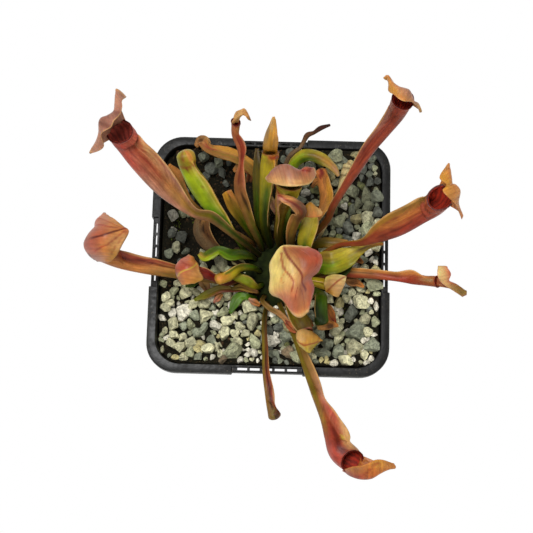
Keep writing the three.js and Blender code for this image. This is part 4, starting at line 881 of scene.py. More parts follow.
def tube_ring(leaf, u, shrink=0.0, flare=0.0, lift=0.0):
    """Points of one ring, with how far across (-1 to 1) and how far up the wing (0 to 1) each lies."""
    last = len(leaf["spine"]) - 1
    x, y, z, width = curve_at(leaf["spine"], u)[0]
    tangent, front, side = (v[0] for v in frames_at(leaf, u))
    radius, along = max(width / 2, 0.5), u / last
    share, degrees = leaf["wing"]
    wing = share * smooth((along - WING_FROM) / WING_RISE) * smooth((WING_UNTIL - along) / WING_FALL)
    wing *= np.interp(along, *zip(*leaf.get("crest", [(0, 1)])))
    heading = math.radians(degrees)
    wide = max(radius * (1 - wing) - shrink, 0.25) + flare
    raised = 0.0 if shrink > 0 else min(1.0, 2 * radius * wing / 0.5)
    root = WING_ROOT + (min(0.4 / wide, WING_ROOT) - WING_ROOT) * raised
    turn = leaf["seed"]
    angles = heading + root + (2 * math.pi - 2 * root) * np.arange(BODY_SIDES) / (BODY_SIDES - 1)
    ripple = 1 + 0.012 * np.sin(9 * angles + turn) + 0.02 * np.sin(3 * angles + 2.3 * u + turn)
    a, b = wide * ripple * np.cos(angles), OVAL * wide * ripple * np.sin(angles)
    up_wing = np.zeros(BODY_SIDES)
    for way in (-1, 1):
        q = (np.arange(WING_STEPS) + 0.6) / WING_STEPS
        climb = q / q[-1]
        low = heading + way * root * (1 - q)
        foot, crest = wide * math.cos(root), radius * (1 + wing)
        high_out = foot + (crest - foot) * climb
        root_more = math.sin(root) * wide - WING_HALF_THICK
        half_thick = WING_HALF_THICK + root_more * (1 - smooth(climb * 1.6))
        sway = 0.3 * wing * radius * climb * math.sin(3.1 * u + turn)
        aside = way * half_thick + sway
        high = np.stack([high_out * math.cos(heading) - aside * math.sin(heading),
                         high_out * math.sin(heading) + aside * math.cos(heading)], axis=1)
        low = np.stack([wide * np.cos(low), OVAL * wide * np.sin(low)], axis=1)
        both = low + (high - low) * raised
        order = slice(None) if way < 0 else slice(None, None, -1)
        a, b = np.concatenate([a, both[order, 0]]), np.concatenate([b, both[order, 1]])
        up_wing = np.concatenate([up_wing, climb[order] * raised])
    slope = leaf.get("slant", 0) * smooth((along - MOUTH_FROM) / MOUTH_SPAN)
    a = a - radius * wing * math.cos(heading)
    b = b - radius * wing * math.sin(heading)
    ring = (np.array([x, y, z]) + a[:, None] * side + b[:, None] * front
            + (lift - slope * b)[:, None] * tangent)
    return ring, np.clip(a / radius, -1, 1), up_wing


def length_to(leaf, places):
    """Millimetres along the leaf to each place."""
    line = curve_at(leaf["spine"], np.linspace(0, len(leaf["spine"]) - 1, 200))[:, :3]
    run = np.concatenate([[0], np.cumsum(np.linalg.norm(np.diff(line, axis=0), axis=1))])
    return np.interp(places, np.linspace(0, len(leaf["spine"]) - 1, 200), run)


def grow_tube(skin, leaf, steps, zone):
    """Adds rings to a leaf's skin: steps are (u, shrink, flare, lift), and zone is outside or inside."""
    paint, last = leaf["paint"], len(leaf["spine"]) - 1
    rings = [tube_ring(leaf, *step) for step in steps]
    sides = len(rings[0][0])
    across = np.concatenate([r[1] for r in rings])
    on_wing = np.concatenate([r[2] for r in rings])
    along = np.repeat([s[0] / last for s in steps], sides)
    tint = dabbed(across, along, paint["tube"])
    if "wing" in paint:
        tint += (smooth(on_wing * 1.3) * 0.75)[:, None] * (PALETTE[paint["wing"]] - tint)
    on_crest = smooth((on_wing - 0.75) / 0.2) * 0.8
    tint += on_crest[:, None] * (PALETTE[paint.get("crest", "pale tan")] - tint)
    tint = lined(tint, across, along, paint.get("tube_lines", []))
    turn = 2 * math.pi * np.tile(np.arange(sides), len(steps)) / sides
    veins = np.full(len(across), paint.get("veins", 0.5)) * smooth((along - 0.4) / 0.3)
    veins = veins * (1 - 0.6 * on_wing)
    if zone == "inside":
        rib = smooth(0.5 + 0.9 * np.cos(13 * turn + 1.5 * np.sin(along * 20)))
        depth = smooth((1 - along) / 0.25)
        mouth = PALETTE[paint.get("mouth", "throat")]
        dark = PALETTE[paint.get("mouth_ribs", "deep maroon")]
        tint = dark + (mouth - dark) * (0.4 + 0.6 * rib)[:, None]
        # Darker deeper down the throat: painted shade.
        tint = tint * (1 - 0.3 * depth)[:, None]
        veins = veins * 0.3
    dry = dried(paint, along, "tube") if zone == "outside" else 0.8
    vein_tint = PALETTE[paint.get("vein", "dark red")]
    start = skin.add(np.concatenate([r[0] for r in rings]), tint, vein_tint, veins, dry)
    widths = curve_at(leaf["spine"], [s[0] for s in steps])[:, 3]
    u = widths[:, None] * math.pi * np.arange(sides + 1)[None] / sides
    v = np.broadcast_to(length_to(leaf, [s[0] for s in steps])[:, None], u.shape)
    return start, np.stack([u + 3.7 * leaf["seed"], v], axis=2)


def dried(paint, along, zone):
    """How dried up the tissue is: [at the foot, at the end]."""
    low, high = paint.get("dry_" + zone, (0.1, 0.2))
    return low + (high - low) * along


# %% [markdown]
# ## Mouths
# The rim of a pitcher's mouth is rolled outwards, like the lip of a jug, and the tube goes on inside
# as a throat. Rings for the roll follow the outside ones, and the throat's rings come back down
# inside, so the whole tube is one closed wall.

# %% Open and shut pitchers
LIP_ROLL = [(0.08, -0.25), (0.2, -0.1), (0.24, 0.05), (0.15, 0.16), (0.0, 0.18), (-0.2, 0.08)]
# The lip's rings run from rose on the outer roll to deep maroon where it turns into the throat: the red is
# the lip's own, the pale outer rings are partly a painted highlight and the dark inner ones partly painted
# shade.
LIP_PAINT = [("rose", 0.3), ("rose", 0.6), ("dull red", 0.6), ("maroon", 0.8),
             ("deep maroon", 1.0), ("maroon", 1.0)]
THROAT_PLACES = [1.0, 0.985, *np.linspace(0.965, 0.62, 16)]
CAP_HEIGHTS, CAP_DOME = (0.3, 0.55, 0.75, 0.9, 0.98), 0.3


def open_tube(skin, leaf):
    """A tube with a rolled lip and a throat."""
    last = len(leaf["spine"]) - 1
    outside = [(u, 0, 0, 0) for u in np.linspace(0, last, int(last * RINGS_PER_SPAN) + 1)[:-1]]
    lip = [(last, 0.0001, flare, lift) for flare, lift in LIP_ROLL]
    start, uv = grow_tube(skin, leaf, outside + lip, "outside")
    throat = [(last * t, 0.55 + 0.25 * min(1, (1 - t) * 20), 0, 0) for t in THROAT_PLACES]
    inner, inner_uv = grow_tube(skin, leaf, throat, "inside")
    skin.tube(start, uv, closed_end=False)
    skin.tube(inner, inner_uv, closed_start=False)
    sides = uv.shape[1] - 1
    rim = start + (len(outside) + len(lip) - 1) * sides
    for j in range(sides):
        k = (j + 1) % sides
        skin.face((rim + j, rim + k, inner + k, inner + j),
                  (uv[-1, j], uv[-1, j + 1], inner_uv[0, j + 1], inner_uv[0, j]))
    outer_tint = skin.tint[-2].copy()
    skin.tint[-2] = outer_tint
    for ring, (colour, share) in enumerate(LIP_PAINT, len(outside)):
        at = slice(ring * sides, (ring + 1) * sides)
        outer_tint[at] += share * (PALETTE[colour] - outer_tint[at])


def shut_tube(skin, leaf):
    """A tube that ends in a low dome."""
    last = len(leaf["spine"]) - 1
    places = np.linspace(0, last, int(last * RINGS_PER_SPAN) + 1)
    start, uv = grow_tube(skin, leaf, [(u, 0, 0, 0) for u in places], "outside")
    sides = uv.shape[1] - 1
    tip = curve_at(leaf["spine"], last)[0]
    tangent = frames_at(leaf, last)[0][0]
    end = skin.points[-1][-sides:]
    cap = []
    for height in CAP_HEIGHTS:
        centre = tip[:3] + tangent * tip[3] * CAP_DOME * height
        cap.append(centre + (end - tip[:3]) * math.sqrt(1 - height**2))
    colours = skin.tint[-1][-sides:]
    vein_tint = PALETTE[leaf["paint"].get("vein", "dark red")]
    skin.add(np.concatenate(cap), np.tile(colours, (len(cap), 1)), vein_tint, 0.2,
             dried(leaf["paint"], np.ones(len(cap) * sides), "tube"))
    last_uv = uv[-1:] + np.array([0, 0.3]) * np.arange(1, len(cap) + 1)[:, None, None]
    skin.tube(start, np.concatenate([uv, last_uv]))


# %% [markdown]
# ## Hoods
# A hood is a thin sheet that stands up behind the mouth and leans over it. Its net of measured rows is
# drawn out smooth in both directions, given a wavy, slightly rolled rim, and then a thickness that
# runs out towards the rim.

# %% Hoods from their nets
HOOD_FINE = 9
HOOD_FROM, HOOD_SWEEP, HOOD_FOOT = 200, 140, 1.2
HOOD_THICK, RIM_THINNER, RIM_WIDTH = 0.6, 0.3, 0.25


def hood_sheet(skin, leaf):
    """The hood of a pitcher, from its net of rows."""
    last, paint = len(leaf["spine"]) - 1, leaf["paint"]
    x, y, z, width = leaf["spine"][last]
    tangent, front, side = (v[0] for v in frames_at(leaf, last))
    columns = len(leaf["hood"][0])
    radius = width / 2 - TUBE_WALL / 2
    angles = np.radians(HOOD_FROM + HOOD_SWEEP * np.arange(columns) / (columns - 1))
    b = radius * OVAL * np.sin(angles)
    root = (np.array([x, y, z]) + radius * np.cos(angles)[:, None] * side + b[:, None] * front
            + (-leaf.get("slant", 0) * b - HOOD_FOOT)[:, None] * tangent)
    net = np.array([root] + [np.array(row) + leaf["moved"] for row in leaf["hood"]])
    down = curve_weights(len(net), np.linspace(0, len(net) - 1, (len(net) - 1) * HOOD_FINE + 1))
    over = curve_weights(columns, np.linspace(0, columns - 1, (columns - 1) * HOOD_FINE + 1))
    fine = np.einsum("ri,ijk,cj->rck", down, net, over)
    rows, cols = fine.shape[:2]
    normal = unit(np.cross(np.gradient(fine, axis=0), np.gradient(fine, axis=1)))
    along, across = np.meshgrid(np.linspace(0, 1, rows), np.linspace(0, 1, cols), indexing="ij")
    edge = np.minimum(np.minimum(across, 1 - across) * 2, (1 - along) * 1.6)
    rim = smooth(1 - edge / RIM_WIDTH)
    seed = leaf["seed"]
    wave = 0.28 * np.sin(9 * across + 5 * along + seed) + 0.2 * np.sin(17 * across - 11 * along + 2 * seed)
    fine += normal * ((0.25 + 0.75 * rim) * wave + paint.get("roll", 0.4) * rim**2)[..., None] * 0.6
    thick = HOOD_THICK - RIM_THINNER * rim
    run = np.cumsum(np.linalg.norm(np.gradient(fine, axis=0), axis=2), axis=0)
    spread = np.cumsum(np.linalg.norm(np.gradient(fine, axis=1), axis=2), axis=1)
    grain = [spread - spread.mean(axis=1, keepdims=True), run]
    uv = np.stack(grain[::-1] if paint.get("veins_across") else grain, axis=2) + 7.3 * seed
    flat_across, flat_along = across.ravel(), along.ravel()
    tint = dabbed(flat_across, flat_along, paint["hood"], stretch=1.0)
    tint = lined(tint, flat_across, flat_along, paint.get("hood_lines", []), stretch=1.0)
    margin = (smooth(1 - edge / 0.1) * paint.get("rim_strength", 0.5)).ravel()
    tint += margin[:, None] * (PALETTE[paint.get("rim", "cream")] - tint)
    veins = paint.get("hood_veins", 0.6) * (1 - 0.7 * rim.ravel())
    vein_tint = PALETTE[paint.get("hood_vein", paint.get("vein", "brick"))]
    dry = dried(paint, flat_along, "hood")
    top = skin.add((fine + normal * thick[..., None] / 2).reshape(-1, 3), tint, vein_tint, veins, dry)
    under = skin.add((fine - normal * thick[..., None] / 2).reshape(-1, 3), tint, vein_tint, veins, dry)
    skin.slab(top, under, uv)


# %% [markdown]
# ## Blades
# The narrow leaves are folded blades. Rows of points across them follow the course, with a fold along
# the middle and a ruffled edge.

# %% Flat leaves
BLADE_COLUMNS = 11
FOOT_THICK, BLADE_THICK, EDGE_THINNER = 1.2, 0.6, 0.45
RUFFLE = 0.16


def blade_sheet(skin, leaf):
    """A flat leaf, folded along its middle."""
    last, paint, seed = len(leaf["spine"]) - 1, leaf["paint"], leaf["seed"]
    places = np.linspace(0, last, int(last * RINGS_PER_SPAN) + 1)
    course = curve_at(leaf["spine"], places)
    _, front, side = frames_at(leaf, places)
    half = np.maximum(course[:, 3] / 2, 0.4)
    lift = leaf["fold"] * half * smooth(places)
    x = np.linspace(-1, 1, BLADE_COLUMNS)
    ruffle = RUFFLE * half[:, None] * np.abs(x)**3 * np.sin(4.1 * places[:, None] + 2 * np.sign(x) + seed)
    height = lift[:, None] * (np.abs(x) - 0.5) + ruffle
    sideways = (half[:, None] * x)[..., None] * side[:, None]
    fine = course[:, None, :3] + sideways + height[..., None] * front[:, None]
    normal = unit(np.cross(np.gradient(fine, axis=0), np.gradient(fine, axis=1)))
    thick = FOOT_THICK + (BLADE_THICK - FOOT_THICK) * smooth(places / 2)
    thick = thick[:, None] * (1 - EDGE_THINNER * x**2)
    along, across = np.meshgrid(places / last, x, indexing="ij")
    flat_across, flat_along = across.ravel(), along.ravel()
    tint = dabbed(flat_across, flat_along, paint["tube"])
    tint = lined(tint, flat_across, flat_along, paint.get("tube_lines", []))
    veins, vein_tint = paint.get("veins", 0.35), PALETTE[paint.get("vein", "olive")]
    lengths = np.broadcast_to(length_to(leaf, places)[:, None], along.shape)
    uv = np.stack([half[:, None] * x, lengths], axis=2) + seed
    dry = dried(paint, flat_along, "tube")
    half_thick = normal * thick[..., None] / 2
    top = skin.add((fine + half_thick).reshape(-1, 3), tint, vein_tint, veins, dry)
    # The underside gets the tint a tenth darker: painted shade.
    under = skin.add((fine - half_thick).reshape(-1, 3), tint * 0.9, vein_tint, veins, dry)
    skin.slab(top, under, uv)


# %% [markdown]
# ## What each leaf is painted with
# "tube" holds the dabs of a tube or a blade as (across, along, colour): -1 and 1 are its edges, with 1 on
# the right seen from the base, and 0 to 1 runs from the base to the end. "hood" holds the hood's dabs,
# as (across, along) on its net. Lines are folds, stripes, rims and spots.

# %% The paint of every leaf
def spot_at(across, along, width, colour, strength=0.85):
    """A line of a single point."""
    return [(across, along)], width, colour, strength


PAINT = {
    "pitcher_back_left": dict(
        tube=[(-0.8, 0.97, "rose"), (0, 0.97, "dull red"), (0.7, 0.97, "rose"), (0.55, 0.82, "pale tan"),
            (-0.1, 0.85, "dull red"), (-0.8, 0.8, "rose"), (0.5, 0.9, "rose"), (0, 0.7, "dull red"),
            (-0.8, 0.66, "dusty pink"), (0.8, 0.64, "mauve"), (0, 0.6, "tan"), (0, 0.53, "olive tan"),
            (0, 0.45, "olive"), (0, 0.35, "green"), (0, 0.25, "dark green"), (0, 0, "dark green")],
        tube_lines=[([(-0.45, 0.72), (-0.35, 0.98)], 0.09, "dark red", 0.6),
            ([(0, 0.75), (0.1, 0.97)], 0.08, "brick", 0.6),
            ([(-0.75, 0.75), (-0.7, 0.97)], 0.07, "brick", 0.5),
            ([(0.35, 0.8), (0.6, 0.93)], 0.12, "brick", 0.7),
            ([(0.75, 0.7), (0.7, 0.85)], 0.1, "brick", 0.5)],
        hood=[(0.1, 0.6, "dusty pink"), (0.5, 0.6, "mauve"), (0.9, 0.6, "dusty pink"), (0.65, 1, "mauve")],
        hood_lines=[([(0.3, 0.4), (0.45, 1)], 0.05, "maroon", 0.4),
            ([(0.6, 0.4), (0.68, 1)], 0.05, "maroon", 0.4)],
        rim="pale tan", veins=0.55, hood_veins=0.2, mouth="rose", mouth_ribs="maroon"),
    "pitcher_left": dict(
        tube=[(-0.6, 0.9, "orange tan"), (-0.6, 0.5, "olive tan"), (0.3, 0.8, "dull red"),
            (0.9, 0.75, "red brown"), (0, 0.55, "tan"), (0, 0.3, "dark olive"), (0, 0, "dark olive")],
        tube_lines=[([(0.25, 0.5), (0.3, 0.68), (0.2, 0.85)], 0.16, "maroon", 0.9)],
        wing="dull red",
        hood=[(0.5, 0.33, "mauve"), (0.8, 0.35, "mauve pink"), (0.15, 0.33, "mauve"),
            (0.5, 0.6, "dull red"), (0.9, 0.6, "dusty pink"), (0.8, 0.85, "tan"), (0.55, 0.9, "orange tan"),
            (0.2, 0.7, "orange tan"), (0.1, 0.95, "golden"), (0.35, 0.95, "pale tan"), (0.3, 0.5, "rose")],
        hood_lines=[([(0.6, 0.98), (0.5, 0.72), (0.42, 0.5)], 0.03, "maroon", 0.9),
            ([(0.6, 0.95), (0.66, 0.6), (0.66, 0.35)], 0.022, "brick", 0.7),
            ([(0.62, 0.98), (0.8, 0.6), (0.85, 0.35)], 0.022, "brick", 0.6),
            ([(0.58, 0.98), (0.3, 0.75), (0.2, 0.5)], 0.022, "brick", 0.7),
            ([(0.56, 0.98), (0.15, 0.85)], 0.02, "brick", 0.5),
            spot_at(0.18, 0.36, 0.05, "deep maroon", 0.8)],
        rim="mauve", rim_strength=0.3, veins=0.45, hood_veins=0.2, vein="brick"),
    "pitcher_left_small": dict(
        tube=[(0, 0, "olive"), (0, 0.4, "maroon"), (0, 0.7, "dark red"), (0, 1, "red brown")],
        wing="dark red",
        hood=[(0.3, 0.33, "mauve"), (0.8, 0.4, "mauve pink"), (0.5, 0.6, "rose"), (0.1, 0.6, "orange tan"),
            (0.9, 0.9, "orange tan"), (0.4, 0.9, "tan"), (0.2, 1, "golden")],
        hood_lines=[([(0.25, 0.45), (0.5, 0.75), (0.75, 0.95)], 0.03, "yellow", 0.7),
            ([(0.7, 0.4), (0.6, 0.7)], 0.03, "brick", 0.6)],
        rim_strength=0.25, hood_veins=0.3, vein="brick"),
    "pitcher_lime_shut": dict(
        tube=[(-0.6, 0.8, "lime"), (-0.5, 0.6, "lime"), (0, 0.7, "lime"), (0.7, 0.8, "yellow green"),
            (0.6, 0.5, "yellow green"), (-0.5, 0.45, "bright green"), (0, 0.9, "yellow green"),
            (0.3, 0.99, "orange tan"), (-0.5, 0.97, "olive tan"), (0, 0.3, "green"), (0, 0, "dark green")],
        tube_lines=[spot_at(-0.35, 0.86, 0.1, "dark red"), spot_at(0, 0.66, 0.07, "dark red"),
            ([(-0.9, 0.9), (0, 0.87), (0.9, 0.9)], 0.07, "brick", 0.65),
            spot_at(-0.5, 0.98, 0.1, "brick", 0.7), ([(0.1, 0.4), (0.25, 0.85)], 0.14, "pale yellow", 0.5)],
        wing="yellow", veins=0.15, vein="green"),
    "pitcher_back_twisted": dict(
        tube=[(0, 1, "tan"), (0, 0.85, "brick"), (0, 0.7, "brick"), (0.5, 0.6, "salmon"),
            (0, 0.52, "dull red"), (0, 0.47, "tan"), (0, 0.42, "brown"), (0, 0.36, "olive tan"),
            (0, 0.28, "olive"), (0, 0.16, "green"), (0, 0, "dark green")],
        tube_lines=[([(-0.5, 0.55), (-0.4, 0.85)], 0.14, "dark red", 0.9),
            ([(0.3, 0.5), (0.45, 0.9)], 0.09, "pink", 0.6),
            ([(-0.2, 0.42), (0.1, 0.36)], 0.2, "dark brown", 0.8)],
        hood=[(0.5, 0.5, "pale tan"), (0.2, 0.3, "tan"), (0.8, 0.9, "tan")],
        hood_lines=[spot_at(1, 1, 0.2, "dark brown")], dry_hood=(0.7, 1), hood_veins=0.2, vein="dark red",
        rim="tan"),
    "pitcher_back_yellow": dict(
        tube=[(0, 1, "golden"), (0.6, 0.9, "golden"), (-0.6, 0.88, "yellow green"),
            (0, 0.76, "yellow green"), (0, 0.66, "yellow green"), (0, 0.54, "green"),
            (0, 0.35, "dark green"), (0, 0, "dark green")],
        tube_lines=[([(-0.2, 0.97), (0.9, 0.95)], 0.12, "brick", 0.9)],
        mouth="golden", mouth_ribs="olive tan",
        hood=[(0.5, 0.35, "golden"), (0.2, 0.5, "olive tan"), (0.8, 0.5, "amber"), (0.4, 0.8, "pale tan"),
            (0.6, 0.9, "golden")],
        hood_lines=[spot_at(0.5, 1, 0.12, "brick", 0.6),
            ([(0.5, 0.3), (0.45, 0.8)], 0.08, "olive tan", 0.6)],
        rim="orange tan", veins=0.25, hood_veins=0.25, vein="olive tan"),
    "pitcher_pink_hood": dict(
        tube=[(0, 1, "yellow green"), (-0.6, 0.94, "yellow green"), (0.6, 0.94, "yellow green"),
            (0.1, 0.86, "green"), (0.6, 0.8, "yellow green"), (-0.5, 0.78, "tan"), (0, 0.6, "olive tan"),
            (0, 0.4, "olive"), (0, 0, "dark olive")],
        tube_lines=[([(-0.95, 0.97), (-0.6, 0.82), (-0.2, 0.78)], 0.1, "brick", 0.9),
            ([(-0.5, 0.75), (-0.3, 0.5)], 0.2, "dusty pink", 0.8)],
        mouth="pale yellow", mouth_ribs="lime",
        hood=[(0.15, 0.6, "mauve"), (0.5, 0.45, "mauve"), (0.8, 0.6, "dull red"), (0.3, 0.98, "pale tan"),
            (0.7, 0.98, "tan"), (0.4, 0.75, "mauve"), (0.15, 0.9, "tan"), (1, 0.8, "dusty pink")],
        hood_lines=[([(0.68, 0.5), (0.85, 0.72), (0.93, 0.6)], 0.04, "dark red", 0.9),
            ([(0.05, 0.9), (0.4, 0.86), (0.6, 0.9)], 0.04, "pale tan", 0.5)],
        hood_veins=0.35, vein="brick"),
    "pitcher_brown_shrunk": dict(
        tube=[(0, 1, "brick"), (-0.5, 0.85, "dusty pink"), (0.5, 0.85, "tan"), (0, 0.7, "dull red"),
            (-0.4, 0.55, "tan"), (0.5, 0.55, "brown"), (0, 0.35, "olive tan"), (0, 0.15, "dark olive"),
            (0, 0, "dark olive")],
        # The red brown line down the middle is a painted shadow line inside the fold.
        tube_lines=[([(-0.1, 0.9), (0, 0.75), (0.2, 0.6)], 0.16, "red brown", 0.8)],
        wing="orange tan", dry_tube=(0.1, 0.5)),
    "pitcher_orange_round": dict(
        tube=[(-0.6, 0.9, "pale yellow"), (-0.5, 0.6, "yellow green"), (0.5, 0.85, "yellow"),
            (0.5, 0.6, "yellow green"), (0, 0.4, "green"), (0, 0, "dark green")],
        mouth="yellow green", veins=0.15, vein="olive",
        hood=[(0.2, 0.8, "tan"), (0.45, 0.5, "golden"), (0.5, 0.95, "orange tan"), (0.95, 0.4, "golden"),
            (0.9, 0.8, "pale tan"), (0.1, 0.4, "golden")],
        rim="salmon", rim_strength=0.4, hood_veins=0.3),
    "pitcher_dry_orange": dict(
        tube=[(0, 1, "brick"), (0, 0.9, "orange tan"), (0.4, 0.7, "golden"), (-0.4, 0.6, "orange tan"),
            (0, 0.4, "tan"), (0, 0.1, "brown")],
        tube_lines=[([(-0.5, 0.94), (0.3, 1)], 0.18, "dark red", 0.9)],
        dry_tube=(0.5, 0.8), vein="brown"),
    "pitcher_tall_back_right": dict(
        tube=[(0, 0.95, "red brown"), (0.6, 0.9, "dull red"), (-0.6, 0.9, "mauve"), (0, 0.7, "red brown"),
            (0.5, 0.7, "dull red"), (0, 0.5, "dull red"), (0, 0.35, "red brown"), (0.3, 0.25, "brown"),
            (0, 0.1, "olive"), (0, 0, "dark olive")],
        tube_lines=[([(0.1, 0.6), (0.2, 0.97)], 0.09, "maroon", 0.5),
            ([(-0.35, 0.65), (-0.3, 0.95)], 0.08, "maroon", 0.5)],
        hood=[(0.15, 0.5, "orange tan"), (0.3, 0.8, "golden"), (0.5, 0.6, "dusty pink"),
            (0.7, 0.6, "mauve"), (0.95, 0.7, "pale tan"), (0.5, 1, "orange tan")],
        rim="pale tan", veins=0.5, hood_veins=0.25),
    "pitcher_right": dict(
        tube=[(-0.8, 0.8, "olive tan"), (-0.8, 0.6, "golden"), (-0.2, 0.85, "dull red"),
            (-0.1, 0.65, "orange tan"), (0.5, 0.8, "dull red"), (0.8, 0.7, "brick"),
            (0.5, 0.55, "red brown"), (0, 0.45, "red brown"), (0, 0.3, "red brown"), (0, 0.1, "olive"),
            (0, 0, "dark olive")],
        tube_lines=[([(0.1, 0.5), (0.15, 0.95)], 0.09, "red brown", 0.6),
            ([(0.45, 0.5), (0.5, 0.95)], 0.1, "maroon", 0.5),
            ([(-0.35, 0.55), (-0.3, 0.9)], 0.07, "dull red", 0.5)],
        wing="olive tan",
        hood=[(0.2, 0.5, "orange tan"), (0.4, 0.9, "golden"), (0.6, 0.5, "orange tan"), (0.8, 0.6, "tan"),
            (1, 0.5, "pink")],
        rim="orange tan", veins=0.5, hood_veins=0.35, vein="brick"),
    "pitcher_right_slim": dict(
        tube=[(0, 0.92, "olive tan"), (0, 0.8, "dull red"), (-0.5, 0.75, "orange tan"), (0.5, 0.7, "brick"),
            (0, 0.6, "red brown"), (-0.6, 0.55, "orange tan"), (0, 0.35, "tan"), (-0.6, 0.3, "olive tan"),
            (0.6, 0.3, "red brown"), (0, 0.1, "olive")],
        # The dark brown line near the foot is painted shade in the gap between the tube and its wing.
        tube_lines=[([(0.1, 0.12), (0.05, 0.45)], 0.2, "dark brown", 0.7)],
        wing="orange tan",
        hood=[(0.2, 1, "cream"), (0.2, 0.5, "pink salmon"), (0.5, 0.9, "pale tan"), (0.6, 0.5, "rose"),
            (0.85, 0.7, "olive tan"), (1, 0.7, "olive")],
        rim="pink", veins=0.4, hood_veins=0.2, vein="brick"),
    "pitcher_centre_large": dict(
        tube=[(0, 1, "salmon"), (0, 0.5, "yellow green"), (0, 0.2, "green"), (0, 0, "dark olive")],
        hood=[(0.2, 0.97, "pale yellow"), (0.45, 0.97, "pale yellow"), (0.6, 0.97, "pale yellow"),
            (0.42, 0.8, "cream"), (0.6, 0.8, "pale tan"), (0.1, 0.76, "brick"), (0.15, 0.5, "dull red"),
            (0.1, 0.3, "rose"), (0.25, 0.25, "pink salmon"), (0.3, 0.42, "brick"), (0.4, 0.1, "orange tan"),
            (0.42, 0.48, "brick"), (0.55, 0.4, "dull red"), (0.5, 0.22, "dull red"),
            (0.6, 0.62, "pale tan"), (0.76, 0.95, "pink salmon"), (0.85, 0.7, "pink salmon"),
            (0.72, 0.5, "dull red"), (0.95, 0.5, "orange tan"), (0.8, 0.25, "rose"),
            (0.92, 0.88, "pink salmon")],
        hood_lines=[([(0.03, 0.9), (0.2, 0.79), (0.4, 0.65), (0.55, 0.54), (0.7, 0.47), (0.8, 0.42)], 0.034,
            "dark red", 0.9),
            ([(0.15, 0.9), (0.4, 0.85), (0.62, 0.73), (0.75, 0.75)], 0.024, "brick", 0.85),
            ([(0.42, 0.84), (0.55, 0.9), (0.6, 0.86)], 0.012, "orange tan", 0.8),
            ([(0.72, 0.62), (0.86, 0.68)], 0.014, "brick", 0.8),
            ([(0.75, 0.56), (0.85, 0.5), (0.95, 0.45)], 0.014, "brick", 0.7),
            ([(0.2, 0.3), (0.4, 0.34)], 0.02, "brick", 0.7),
            ([(0.3, 0.15), (0.42, 0.2)], 0.02, "rose", 0.7)],
        rim_strength=0.6, hood_veins=0.12, vein="brick", veins_across=True),
    "pitcher_small_amber": dict(
        tube=[(0, 1, "golden"), (0, 0.6, "yellow green"), (0, 0.3, "green"), (0, 0, "dark green")],
        mouth="golden",
        hood=[(0.2, 0.35, "cream"), (0.5, 0.35, "pale tan"), (0.7, 0.6, "pale tan"), (0.9, 0.8, "golden"),
            (0.3, 0.8, "pale tan"), (0.1, 0.9, "pale yellow")],
        hood_lines=[([(0.05, 0.4), (0.4, 0.62), (0.95, 0.95)], 0.05, "brick", 0.8)],
        rim_strength=0.3, hood_veins=0.25, vein="brick"),
    "pitcher_green_dry_lip": dict(
        tube=[(0, 0.98, "dark green"), (0.5, 0.8, "dark green"), (0, 0.72, "green"), (0, 0.6, "green"),
            (0, 0.45, "lime"), (0, 0.2, "green"), (0, 0, "dark green")],
        hood=[(0.5, 0.7, "tan"), (0.2, 0.5, "orange tan"), (0.8, 0.5, "tan")],
        hood_lines=[spot_at(0.5, 0.55, 0.3, "deep maroon")], dry_hood=(0.6, 0.9), veins=0.2,
        vein="dark green"),
    "pitcher_olive_wide": dict(
        tube=[(0, 1, "brown"), (0, 0.85, "olive"), (0.4, 0.6, "olive"), (-0.4, 0.5, "olive"),
            (0, 0.2, "dark olive")],
        tube_lines=[([(-1, 0.98), (1, 0.98)], 0.08, "dusty pink", 0.8)],
        mouth="golden",
        hood=[(0.5, 0.36, "pale tan"), (0.2, 0.45, "golden"), (0.8, 0.5, "pale tan"), (0.5, 0.6, "golden"),
            (0.5, 0.95, "yellow"), (0.2, 0.9, "yellow green"), (0.8, 0.9, "pale yellow")],
        hood_lines=[([(0, 0.66), (0.3, 0.7), (0.6, 0.69), (1, 0.62)], 0.035, "brick", 0.9),
            ([(0.35, 0.8), (0.45, 0.95)], 0.03, "brick", 0.5)],
        rim_strength=0.2, hood_veins=0.25),
    "pitcher_front_long": dict(
        tube=[(0, 0, "dark olive"), (0, 0.15, "olive"), (0.5, 0.3, "olive"), (-0.5, 0.35, "olive tan"),
            (0.5, 0.5, "olive"), (-0.6, 0.5, "dusty pink"), (0.6, 0.65, "olive tan"), (-0.5, 0.65, "rose"),
            (0.3, 0.75, "brick"), (-0.2, 0.8, "dull red"), (-0.7, 0.82, "pale tan"), (0.6, 0.88, "rose"),
            (0, 0.92, "dark red"), (0.7, 1, "rose")],
        # The wide maroon line near the mouth end is painted shade.
        tube_lines=[([(0.1, 0.8), (0.1, 0.96)], 0.3, "maroon", 0.75),
            spot_at(-0.35, 0.83, 0.14, "yellow", 0.7), ([(0.1, 0.3), (0.2, 0.6)], 0.12, "brown", 0.4)],
        hood=[(0.1, 0.8, "orange tan"), (0.3, 0.9, "golden"), (0.5, 0.7, "orange"), (0.7, 0.6, "brick"),
            (0.8, 0.9, "orange tan"), (0.95, 0.6, "mauve")],
        hood_lines=[([(0.75, 0.6), (0.5, 0.85), (0.3, 0.9)], 0.04, "brick", 0.6)],
        rim="orange tan", veins=0.45, hood_veins=0.45, vein="brick"),
    "pitcher_front_slim": dict(
        tube=[(0, 0.1, "dark olive"), (0.5, 0.4, "olive"), (-0.4, 0.4, "brown"), (0, 0.6, "red brown"),
            (0.6, 0.7, "olive tan"), (-0.7, 0.7, "red brown"), (0, 0.9, "grey brown"), (0, 1, "olive")],
        tube_lines=[([(-0.1, 0.45), (-0.1, 0.85)], 0.3, "deep maroon", 0.8),
            ([(-0.9, 0.96), (0, 1.02)], 0.15, "deep maroon", 0.8)],
        wing="red brown", dry_tube=(0.1, 0.4)),
    "pitcher_shut_upper": dict(
